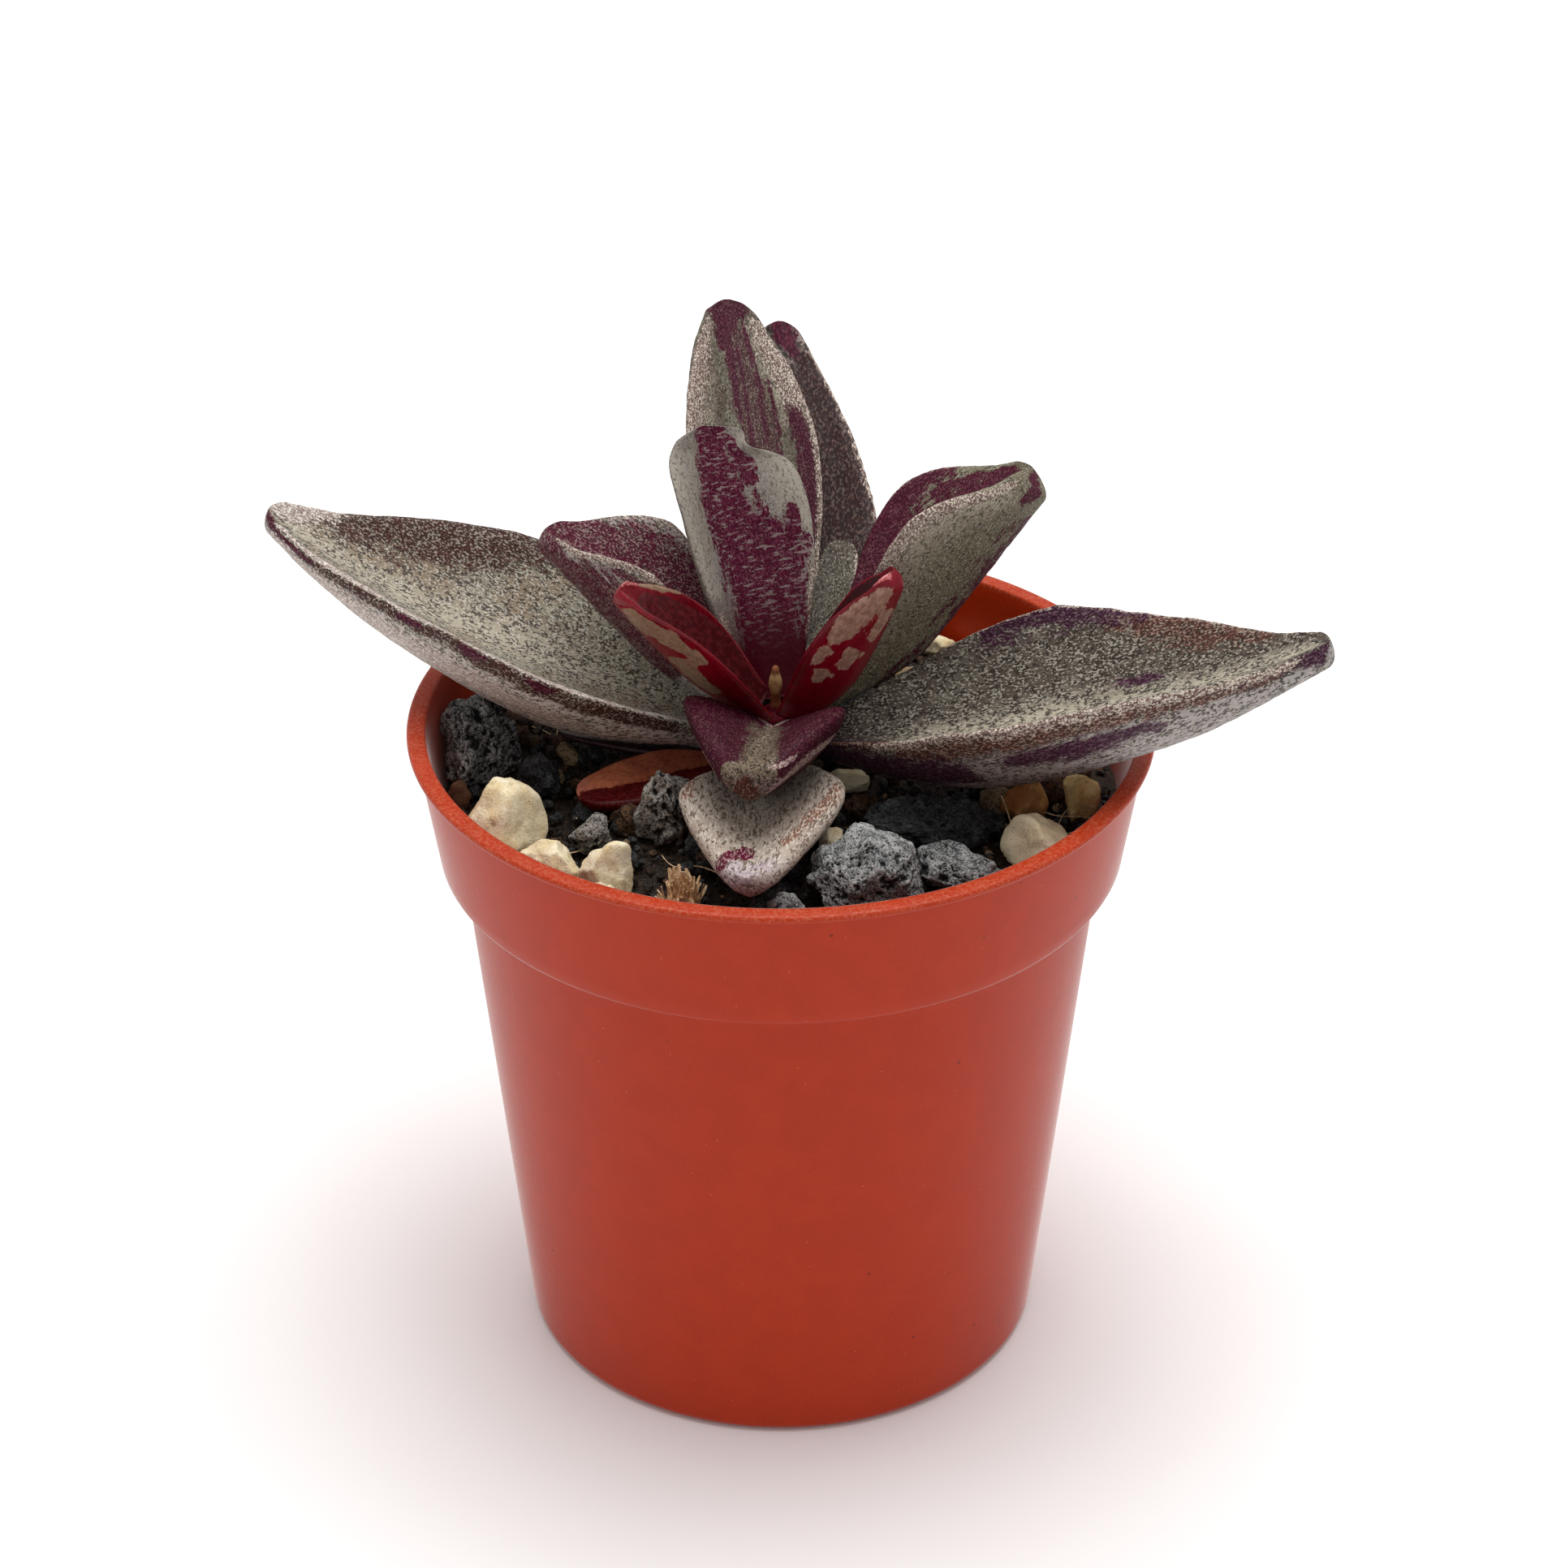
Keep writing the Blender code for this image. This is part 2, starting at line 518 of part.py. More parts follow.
def main():
    clear_scene()
    make_pot()
    make_soil()
    make_stem()
    for name, values in LEAVES.items():
        make_leaf(name, values)
    for name, values in LAVA.items():
        make_stone(name, values, "lava", 0.22)
    for name, values in PEBBLES.items():
        make_stone(name, values, "pebble", 0.10)
    make_tuft()


main()
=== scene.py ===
"""Looks of the potted lenophyllum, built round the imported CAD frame.

Lengths are in millimetres until they reach a mesh; MM turns them into metres. Places and forms repeat the CAD's
own values, but a few leaves are slightly longer or start lower, and a few stones are slightly larger. Colours are
given from 0 to 255.
"""
import math

import bmesh
import bpy
import numpy as np
from mathutils import Matrix, Vector, noise


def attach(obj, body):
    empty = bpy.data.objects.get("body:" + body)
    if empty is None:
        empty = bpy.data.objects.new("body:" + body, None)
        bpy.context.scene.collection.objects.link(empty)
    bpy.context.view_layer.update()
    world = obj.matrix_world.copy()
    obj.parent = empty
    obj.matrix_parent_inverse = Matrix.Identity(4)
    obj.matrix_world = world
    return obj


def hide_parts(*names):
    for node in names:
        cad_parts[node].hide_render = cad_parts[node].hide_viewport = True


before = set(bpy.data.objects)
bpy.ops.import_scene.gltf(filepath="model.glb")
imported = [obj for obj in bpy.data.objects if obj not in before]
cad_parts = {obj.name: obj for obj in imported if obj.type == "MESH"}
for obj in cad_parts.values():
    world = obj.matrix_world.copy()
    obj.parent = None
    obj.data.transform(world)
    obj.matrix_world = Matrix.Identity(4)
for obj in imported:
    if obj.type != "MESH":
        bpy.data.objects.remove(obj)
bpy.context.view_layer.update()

MM = 0.001
BODY = "root"

# Pot
POT_HEIGHT = 51.0
POT_BASE_RADIUS = 19.7
POT_FOOT_ROUND = 1.0
POT_BODY_TOP_RADIUS = 23.8
BAND_BOTTOM = 40.8
BAND_BOTTOM_RADIUS = 25.45
BAND_TOP_RADIUS = 26.9
BEAD_RADIUS = 27.5
BEAD_HEIGHT = 0.6
POT_WALL = 0.8
POT_FLOOR = 1.2
POT_SIDES = 240
DRAIN_HOLES = 4
DRAIN_DIAMETER = 5.0
DRAIN_CIRCLE_RADIUS = 11.5

# Soil, with its grains: how many, smallest and largest size, fineness of the mesh, and how far from the stones
GAP = 0.3
SOIL_LEVEL = 45.2
SOIL_RELIEF = 0.3
SOIL_SIDES = 150
SOIL_RINGS = 80
GRAINS = ((46, 1.8, 3.0, 3, 1.3), (260, 1.0, 1.9, 2, 1.1), (1800, 0.4, 1.0, 1, 0.9))
GRAIN_FREE = 2.6

# Stem
STEM_X = -0.4
STEM_Y = 1.0
STEM_RADIUS = 1.4
STEM_FOOT = 38.3
STEM_TOP = 51.0
TIP_HEIGHT = 54.8

# Tuft and fibres
TUFT_X = -7.0
TUFT_Y = -17.1
TUFT_RADIUS = 1.5
TUFT_HEIGHT = 3.4
TUFT_BLADES = 54
LOOSE_FIBRES = 26

# Camera, light and table
CAMERA_LENS = 104.93
SENSOR_WIDTH = 36.0
CAMERA_AIM = (0.109, 0.0, 45.306)
CAMERA_TILT = 30.782
CAMERA_ROLL = -0.0937
CAMERA_DISTANCE = 338.93
KEY_PLACE = (0.05, 0.12, 1.15)
KEY_AIM = (0.0, 0.0, 0.04)
KEY_SIZE = 0.9
KEY_POWER = 11.0
WORLD_TINT = (1.0, 0.995, 0.985, 1.0)
WORLD_LIGHT = 0.55
TABLE_HALF = 3.0


def rgb(red, green, blue):
    """A linear colour from one given in 0 to 255."""
    shares = (c / 255.0 for c in (red, green, blue))
    return (*(c / 12.92 if c <= 0.04045 else ((c + 0.055) / 1.055) ** 2.4 for c in shares), 1.0)


# Noise on arrays of points

def cell_value(cell, seed):
    """A number from 0 to 1 for each whole-numbered cell."""
    c = cell.astype(np.int64)
    h = (c[..., 0] * 73856093) ^ (c[..., 1] * 19349663) ^ (c[..., 2] * 83492791) ^ (seed * 40503 + 977)
    h = ((h ^ (h >> 15)) * 1103515245) & 0x7FFFFFFF
    h = ((h ^ (h >> 12)) * 69069) & 0x7FFFFFFF
    return ((h >> 7) & 0xFFFF) / 65535.0


def smooth_noise(points, scale, seed, octaves=1):
    """Value noise from about -1 to 1; scale is in cells per millimetre."""
    total = np.zeros(points.shape[:-1])
    weight = 0.0
    for octave in range(octaves):
        q = points * scale * 2.0 ** octave + 17.3 * octave
        low = np.floor(q)
        f = q - low
        f = f * f * (3.0 - 2.0 * f)
        value = np.zeros(points.shape[:-1])
        for dx in (0, 1):
            for dy in (0, 1):
                for dz in (0, 1):
                    share = ((f[..., 0] if dx else 1 - f[..., 0]) * (f[..., 1] if dy else 1 - f[..., 1])
                             * (f[..., 2] if dz else 1 - f[..., 2]))
                    value += share * cell_value(low + (dx, dy, dz), seed + octave)
        total += (2.0 * value - 1.0) * 0.5 ** octave
        weight += 0.5 ** octave
    return total / weight


def cell_distance(points, scale, seed):
    """Distance to the nearest scattered point, in cells."""
    q = points * scale
    low = np.floor(q)
    best = np.full(points.shape[:-1], 9.0)
    for dx in (-1, 0, 1):
        for dy in (-1, 0, 1):
            for dz in (-1, 0, 1):
                cell = low + (dx, dy, dz)
                spot = cell + np.stack([cell_value(cell, seed + k) for k in range(3)], -1)
                best = np.minimum(best, np.linalg.norm(spot - q, axis=-1))
    return best


def fade(low, high, x):
    """Smooth step from 0 at low to 1 at high."""
    q = np.clip((x - low) / (high - low), 0.0, 1.0)
    return q * q * (3.0 - 2.0 * q)


# Meshes

def add_piece(name, points, faces, material, node, slot, fields=None, sharp=None):
    """A smooth mesh object in the root body, in place of a CAD node if one is given.

    Fields are layers of values at its points. Edges sharper than so many degrees aren't smoothed."""
    mesh = bpy.data.meshes.new(name)
    mesh.from_pydata((np.asarray(points, float) * MM).tolist(), [], [tuple(f) for f in faces])
    mesh.validate()
    build = bmesh.new()
    build.from_mesh(mesh)
    bmesh.ops.recalc_face_normals(build, faces=build.faces)
    build.to_mesh(mesh)
    build.free()
    mesh.shade_smooth()
    if sharp:
        mesh.set_sharp_from_angle(angle=math.radians(sharp))
    for key, value in (fields or {}).items():
        vector = value.ndim == 2
        layer = mesh.attributes.new(key, "FLOAT_VECTOR" if vector else "FLOAT", "POINT")
        layer.data.foreach_set("vector" if vector else "value", value.ravel())
    mesh.materials.append(material)
    piece = bpy.data.objects.new(name, mesh)
    bpy.context.scene.collection.objects.link(piece)
    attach(piece, BODY)
    if node:
        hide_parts(node)
    return piece


def rings_to_faces(rings, around, offset=0):
    """Quads between neighbouring rings of points."""
    faces = []
    for i in range(rings - 1):
        a = offset + i * around
        b = a + around
        for k in range(around):
            j = (k + 1) % around
            faces.append((a + k, b + k, b + j, a + j))
    return faces


def turned(profile, sides, centre=(0.0, 0.0), wobble=None):
    """Points and faces of an outline of (radius, z) turned about a vertical axis; ends at radius 0 are poles."""
    points = []
    faces = []
    rows = []
    turn = 2 * np.pi * np.arange(sides) / sides
    for radius, z in profile:
        if radius == 0.0:
            rows.append((len(points), 1))
            points.append((centre[0], centre[1], z))
            continue
        rows.append((len(points), sides))
        spread = radius * (1.0 + (wobble(turn, z) if wobble else 0.0 * turn))
        points += list(zip(centre[0] + spread * np.cos(turn), centre[1] + spread * np.sin(turn), z + 0.0 * turn))
    for (a, na), (b, nb) in zip(rows, rows[1:]):
        for k in range(sides):
            j = (k + 1) % sides
            if na == 1:
                faces.append((a, b + k, b + j))
            elif nb == 1:
                faces.append((a + k, b, a + j))
            else:
                faces.append((a + k, b + k, b + j, a + j))
    return points, faces


def arc(centre_r, centre_z, radius, start, end, steps):
    """Points (r, z) on an arc, both ends included; angles in degrees."""
    turn = np.radians(np.linspace(start, end, steps + 1))
    return list(zip(centre_r + radius * np.cos(turn), centre_z + radius * np.sin(turn)))


def tube(path, radii, sides=6):
    """A closed round tube along points, with its own radius at each."""
    path = np.asarray(path, float)
    ahead = np.gradient(path, axis=0)
    ahead /= np.linalg.norm(ahead, axis=1, keepdims=True)
    side = np.cross(ahead, (0.31, 0.17, 0.93))
    side /= np.linalg.norm(side, axis=1, keepdims=True)
    up = np.cross(side, ahead)
    points = []
    for p, s, u, r in zip(path, side, up, radii):
        for k in range(sides):
            turn = 2 * math.pi * k / sides
            points.append(p + r * (math.cos(turn) * s + math.sin(turn) * u))
    count = len(path)
    faces = rings_to_faces(count, sides)
    faces.append(tuple(range(sides)))
    faces.append(tuple((count - 1) * sides + k for k in reversed(range(sides))))
    return points, faces


def join(parts):
    """One list of points and faces from several."""
    points = []
    faces = []
    for part_points, part_faces in parts:
        start = len(points)
        points += [tuple(p) for p in part_points]
        faces += [tuple(start + i for i in f) for f in part_faces]
    return points, faces


# Materials

class Nodes:
    """Builds one Principled material."""

    def __init__(self, name):
        self.material = bpy.data.materials.new(name)
        self.material.use_nodes = True
        self.tree = self.material.node_tree
        self.shader = self.tree.nodes["Principled BSDF"]

    def put(self, kind, inputs=None, **settings):
        """A new node; its inputs are given by number or name, as values or as the outputs of other nodes."""
        node = self.tree.nodes.new(kind)
        for key, value in settings.items():
            setattr(node, key, value)
        for key, value in (inputs or {}).items():
            self.feed(node.inputs[key], value)
        return node

    def feed(self, socket, value):
        if isinstance(value, bpy.types.NodeSocket):
            self.tree.links.new(value, socket)
        else:
            socket.default_value = value

    def field(self, name, vector=False):
        """A layer of values that the mesh has at its points."""
        return self.put("ShaderNodeAttribute", attribute_name=name).outputs["Vector" if vector else "Fac"]

    def stretched(self, vector, scale):
        return self.put("ShaderNodeVectorMath", {0: vector, 1: scale}, operation="MULTIPLY").outputs[0]

    def place(self):
        """The object's own coordinates in millimetres."""
        return self.stretched(self.put("ShaderNodeTexCoord").outputs["Object"], (1 / MM, 1 / MM, 1 / MM))

    def height(self, vector):
        """How high a place is."""
        return self.put("ShaderNodeSeparateXYZ", {0: vector}).outputs[2]

    def noise(self, vector, scale, detail=2.0, rough=0.5):
        return self.put("ShaderNodeTexNoise", {"Vector": vector, "Scale": scale, "Detail": detail,
                                               "Roughness": rough}).outputs["Fac"]

    def cells(self, vector, scale, feature="F1"):
        """The distance to scattered points, or to the edges between their cells."""
        return self.put("ShaderNodeTexVoronoi", {"Vector": vector, "Scale": scale},
                        feature=feature).outputs["Distance"]

    def step(self, value, low, high, least=0.0, most=1.0):
        """From least to most while the value rises from low to high."""
        return self.put("ShaderNodeMapRange", {"Value": value, "From Min": low, "From Max": high, "To Min": least,
                                               "To Max": most}, interpolation_type="SMOOTHSTEP").outputs["Result"]

    def times(self, a, b, plus=None):
        """One value times another, with a third one added if there is one."""
        inputs = {0: a, 1: b, 2: 0.0 if plus is None else plus}
        return self.put("ShaderNodeMath", inputs,
                        operation="MULTIPLY" if plus is None else "MULTIPLY_ADD").outputs[0]

    def mix(self, factor, a, b):
        """One colour turned into another; each is an output or red, green and blue from 0 to 255."""
        a, b = (rgb(*c) if isinstance(c, tuple) else c for c in (a, b))
        return self.put("ShaderNodeMix", {0: factor, 6: a, 7: b}, data_type="RGBA").outputs[2]

    def coats(self, colour, *coats):
        """A colour under coats of others; a coat is its colour and what step needs to say how much it covers."""
        for coat, *cover in coats:
            colour = self.mix(self.step(*cover), colour, coat)
        return colour

    def bump(self, height, distance, strength):
        return self.put("ShaderNodeBump", {"Height": height, "Distance": distance * MM,
                                           "Strength": strength}).outputs["Normal"]

    def finish(self, colour, rough, normal=None, **sockets):
        self.feed(self.shader.inputs["Base Color"], colour)
        self.feed(self.shader.inputs["Roughness"], rough)
        if normal is not None:
            self.feed(self.shader.inputs["Normal"], normal)
        for key, value in sockets.items():
            self.shader.inputs[key.replace("_", " ")].default_value = value
        return self.material


def leaf_material(name, look):
    """Speckled leaf skin with patches whose edges break up along the speckles."""
    n = Nodes(name)
    at = n.field("leaf_at", vector=True)
    along = n.stretched(at, (look["stretch"], 1.0, 1.0))
    fine = n.noise(along, look["fine"], 3.0, 0.62)
    tiny = n.noise(along, look["fine"] * 1.9, 2.0, 0.6)
    clump = n.noise(at, 1.1, 4.0, 0.65)
    broad = n.noise(at, 0.28, 3.0, 0.6)
    streak = n.noise(n.stretched(at, (0.32, 1.0, 1.0)), look["streak"], 5.0, 0.7)
    ripple = n.noise(n.stretched(at, (1.0, 0.28, 0.28)), 4.2, 3.0, 0.6)

    def mask(key, ragged, crumble, edge):
        """A patch is whole on its stroke and breaks into streaks and specks towards its edge."""
        patch = n.field(key)
        value = n.times(fine, crumble, n.times(streak, ragged, patch))
        middle = 0.5 + 0.5 * (ragged + crumble)
        return n.times(n.step(value, middle - edge, middle + edge), n.step(patch, 0.02, 0.25))

    shown = n.mix(n.step(broad, 0.40, 0.60), look["skin"], look["warm"])
    # The underside's own paler colour; on the large left leaf it is lifted, partly painted light for the side that
    # faces down.
    shown = n.mix(n.field("under"), shown, look["under"])
    shown = n.mix(n.times(n.field("bloom"), n.step(clump, 0.30, 0.55, 0.55, 1.0)), shown, look["bloom"])
    shown = n.mix(n.step(streak, 0.50, 0.62, 0.0, look["veins"]), shown, look["speck"])
    bare = 1.0
    for key, clean, share in (("brown", 0.5 * look["clean"], look["solid"]), ("wine", look["clean"], look["calm"])):
        tone = n.coats(look[key], (look[key + "_light"], tiny, 0.46, 0.60),
                       (look["pale"], ripple, 0.54, 0.62, 0.0, look["ripples"]))
        patch = mask(key, look["ragged"] * share, look["crumble"] * share, look["edge"])
        shown = n.mix(patch, shown, tone)
        bare = n.times(n.times(patch, -clean, 1.0), bare)
    cover = look["cover"] + 0.5 * look["clumps"]
    spots = n.step(n.times(clump, look["clumps"], fine), cover - 0.05, cover + 0.015, look["depth"], 0.0)
    shown = n.mix(n.times(spots, bare), shown, look["speck"])
    lit = n.step(n.times(clump, -0.3, tiny), 0.385, 0.45, 0.0, look["flecks"])
    shown = n.mix(n.times(lit, bare), shown, look["pale"])
    flake = n.cells(n.stretched(at, (1.8, 0.8, 1.0)), look["flake"], "DISTANCE_TO_EDGE")
    crust = n.coats(look["crack"], (look["crust"], tiny, 0.42, 0.58), (look["crack"], flake, 0.02, 0.10, 0.8, 0.0))
    shown = n.mix(mask("crust", 1.2, 2.6, 0.12), shown, crust)
    # Painted shade: the leaf feet are darkened towards deep, which on the inner back leaf is also the crimson of its
    # base.
    shown = n.mix(n.field("foot_shade_and_tint"), shown, look["deep"])
    normal = n.bump(n.times(tiny, 0.6, fine), look["relief"], 0.8)
    rough = n.step(fine, 0.35, 0.65, look["gloss"] - 0.07, look["gloss"] + 0.10)
    return n.finish(shown, rough, normal, Specular_IOR_Level=look["specular"], Coat_Weight=look["coat"],
                    Coat_Roughness=0.16)


# Leaves

SPINE_STEPS = 60
# How a stroke fades: at its ends over this share of the leaf's length, and at its sides by these two numbers
STROKE_END = 0.045
STROKE_SIDE = 0.62
STROKE_GAIN = 1.25
# The channel has its full depth up to CHANNEL_FULL of the length, and at least CHANNEL_LEAST of it at the tip
CHANNEL_FULL = 0.55
CHANNEL_LEAST = 0.55
CHANNEL_BLEND = 24.0
# A margin is rounded over MARGIN_SHARE of the thickness, but not over more than MARGIN_MOST; the leaf isn't
# thicker than THICKEST of its half width
MARGIN_SHARE = 0.32
MARGIN_MOST = 0.9
THICKEST = 2.2
# Waves along a margin and fine grooves along the blade, both in cells or radians per millimetre
WAVE_SCALE = 0.35
GROOVE_SCALE = 4.6


def leaf_spine(leaf, t):
    """Points along the midrib, with the leaf's upward and sideways directions, at each t."""
    steps = np.linspace(0.0, 1.0, SPINE_STEPS)
    heading = np.radians(leaf["heading"] + leaf["turn"] * steps)
    slope = np.radians(leaf["rise"] + leaf["lift"] * steps)
    forward = np.stack([np.cos(slope) * np.cos(heading), np.cos(slope) * np.sin(heading), np.sin(slope)], -1)
    level = np.stack([-np.sin(slope) * np.cos(heading), -np.sin(slope) * np.sin(heading), np.cos(slope)], -1)
    start = math.radians(leaf["heading"])
    foot = np.array([STEM_X + leaf["reach"] * math.cos(start), STEM_Y + leaf["reach"] * math.sin(start),
                     leaf["height"]])
    hops = (forward[1:] + forward[:-1]) / 2 * leaf["length"] / (len(steps) - 1)
    points = foot + np.vstack([[0.0, 0.0, 0.0], np.cumsum(hops, 0)])
    roll = np.radians(leaf["roll"] + leaf["twist"] * steps)[:, None]
    side = np.cross(level, forward)
    upward = level * np.cos(roll) + side * np.sin(roll)
    sideways = side * np.cos(roll) - level * np.sin(roll)

    def at(values):
        return np.stack([np.interp(t, steps, values[:, i]) for i in range(3)], -1)

    up = at(upward)
    across = at(sideways)
    return (at(points), up / np.linalg.norm(up, axis=1, keepdims=True),
            across / np.linalg.norm(across, axis=1, keepdims=True), points[-1], upward[-1])


def nose_cap(t, leaf):
    """The rounding of the very tip."""
    start = 1.0 - leaf["nose"] / leaf["length"]
    q = np.clip((t - start) / (1.0 - start), 0.0, 1.0)
    return np.sqrt(1.0 - q * q)


def half_width(t, leaf):
    """Half the width at each t: from the foot to the widest place, and from there to the blunt tip."""
    foot = leaf["foot"] / leaf["width"]
    rising = foot + (1.0 - foot) * np.sin(np.pi / 2 * np.clip(t / leaf["widest"], 0.0, 1.0)) ** leaf["flare"]
    q = np.clip((t - leaf["widest"]) / (1.0 - leaf["widest"]), 0.0, 1.0)
    blunt = 2.0 * leaf["nose"] / leaf["width"]
    falling = blunt + (1.0 - blunt) * (1.0 - q ** leaf["taper"]) ** leaf["point"]
    return leaf["width"] / 2 * np.where(t < leaf["widest"], rising, falling) * nose_cap(t, leaf)


def thickness(t, leaf):
    """The thickness of the midrib at each t, which grows from the neck and falls again to the tip."""
    neck = leaf["neck"] / leaf["thick"]
    grow = neck + (1.0 - neck) * np.sin(np.pi / 2 * np.clip(t / 0.4, 0.0, 1.0))
    fall = 1.0 - 0.5 * np.clip((t - 0.35) / 0.65, 0.0, 1.0) ** 1.5
    return leaf["thick"] * grow * fall * nose_cap(t, leaf)


def stroke_field(t, turn, strokes):
    """How much of a patch there is at each point: 1 on a stroke's line, 0 at its edge.

    A stroke is a list of (t, angle round the section in degrees, half width in degrees)."""
    total = np.zeros(np.broadcast(t, turn).shape)
    for stroke in strokes:
        at = np.array([s[0] for s in stroke])
        middle = np.interp(t, at, [s[1] for s in stroke])
        half = np.interp(t, at, [s[2] for s in stroke])
        away = np.abs((turn - middle + 180.0) % 360.0 - 180.0) / half
        beyond = np.maximum(at[0] - t, t - at[-1]) / STROKE_END
        total = np.maximum(total, 1.0 - np.hypot(away * STROKE_SIDE, np.maximum(beyond, 0.0)))
    return np.clip(total * STROKE_GAIN, 0.0, 1.0)


def make_leaf(node, leaf, look):
    """A channelled leaf: rings of points round its midrib, closed at the foot and the tip."""
    rings, around = leaf["mesh"]
    seed = look["seed"]
    nose = leaf["nose"] / leaf["length"]
    caps = max(8, rings // 12)
    blade = (1.0 - (1.0 - np.linspace(0.0, 1.0, rings - caps)) ** 1.1) * (1.0 - nose)
    turns = np.linspace(0.0, np.pi / 2, caps + 2)[1:-1]
    t = np.concatenate([blade, 1.0 - nose + nose * np.sin(turns)])
    centre, up, across, tip, tip_up = leaf_spine(leaf, t)
    phi = 2 * np.pi * np.arange(around) / around
    u = np.cos(phi)[None, :]
    above = np.sin(phi)[None, :] >= -1e-9
    width = half_width(t, leaf)[:, None]
    thinner = 1.0 - look["thin_tip"] * fade(0.70, 1.0, t)
    deep = np.minimum((thickness(t, leaf) * thinner)[:, None], THICKEST * width)
    hold = np.where(t < CHANNEL_FULL, 1.0, 1.0 - ((t - CHANNEL_FULL) / (1.0 - CHANNEL_FULL)) ** 3)
    hold = (np.logaddexp(CHANNEL_BLEND * hold, CHANNEL_BLEND * CHANNEL_LEAST) / CHANNEL_BLEND)[:, None]
    edge_round = np.minimum(MARGIN_SHARE * deep, MARGIN_MOST) * look["rim"]
    camber = leaf["channel"] * hold * width * np.abs(u) ** leaf["channel_power"]
    edge = np.maximum((np.abs(u) - look["rim_from"]) / (1.0 - look["rim_from"]), 0.0)
    top = camber - edge_round * (1.0 - np.sqrt(np.maximum(1.0 - edge * edge, 0.0)))
    bottom = camber - edge_round - (deep - edge_round) * np.sqrt(np.maximum(1.0 - u * u, 0.0))
    high = np.where(above, top, bottom)
    wide = u * width * np.ones_like(high)
    degrees = np.degrees(phi)[None, :]
    along = t[:, None] * leaf["length"]
    flat = np.stack([along + 0 * high, wide, high], -1)
    for at, side, spread, depth in look["dents"]:
        reach = np.clip(side * u, 0.0, 1.0) ** 2
        wide = wide - side * reach * depth * np.exp(-((t[:, None] - at) / spread) ** 2)
    rim = np.clip(np.abs(u), 0.0, 1.0) ** 6 * np.sin(np.pi * np.clip(t[:, None], 0.0, 1.0))
    edge_line = np.stack([along + 0 * u, 40.0 * np.sign(u) + 0 * along, 0 * along + 0 * u], -1)
    wave = smooth_noise(edge_line, WAVE_SCALE, seed, 2)
    high = high + look["wave"] * rim * wave
    points = centre[:, None, :] + across[:, None, :] * wide[..., None] + up[:, None, :] * high[..., None]
    d_along = np.gradient(points, axis=0)
    d_round = np.roll(points, -1, 1) - np.roll(points, 1, 1)
    outward = np.cross(d_round, d_along)
    outward /= np.linalg.norm(outward, axis=-1, keepdims=True) + 1e-9
    middle = points.mean(1, keepdims=True)
    outward *= np.sign(((points - middle) * outward).sum(-1).mean())
    strokes = look["strokes"]
    fields = {key: stroke_field(t[:, None], degrees, strokes.get(key, ())) for key in
              ("wine", "brown", "crust", "bloom", "foot_shade_and_tint")}
    # The painted shade at the leaf feet fades out past the end of its strokes.
    foot_shade_end = max((point[0] for stroke in strokes.get("foot_shade_and_tint", ()) for point in stroke), default=1.0)
    fields["foot_shade_and_tint"] *= 1.0 - fade(0.3 * foot_shade_end, 1.1 * foot_shade_end, t[:, None])
    fields["under"] = fade(0.05, 0.45, -np.sin(phi)[None, :] + 0 * along)
    rough_skin = (0.05 * smooth_noise(flat, 0.9, seed + 3, 3) + 0.02 * smooth_noise(flat, 3.0, seed + 5, 2)
                  + 0.05 * fields["crust"] * smooth_noise(flat * (1.6, 1.0, 1.0), 2.6, seed + 8, 2))
    grooves = look["grooves"] * np.sin(wide * GROOVE_SCALE + 1.2 * smooth_noise(flat, 0.25, seed + 11)) * above
    calm = np.clip(np.minimum(t[:, None] / 0.06, (1.0 - t[:, None]) / 0.02), 0.0, 1.0)
    points = points + outward * ((look["bumps"] * rough_skin + grooves) * calm)[..., None]
    foot = points[0].mean(0)
    last = points[-1].mean(0)
    end = tip + tip_up * np.dot(last - tip, tip_up)
    vertices = np.vstack([points.reshape(-1, 3), foot, end])
    faces = rings_to_faces(rings, around)
    first = rings * around
    for k in range(around):
        j = (k + 1) % around
        faces.append((first, k, j))
        faces.append((first + 1, (rings - 1) * around + j, (rings - 1) * around + k))

    def ends(value):
        return np.concatenate([value.ravel(), [value[0].mean(), value[-1].mean()]])

    data = {key: ends(value) for key, value in fields.items()}
    data["leaf_at"] = np.vstack([flat.reshape(-1, 3), flat[0].mean(0), flat[-1].mean(0)]) + (0.0, 0.0, 31.0 * seed)
    add_piece(node + "_skin", vertices, faces, leaf_material(node + "_look", look), node, leaf["slot"], data)


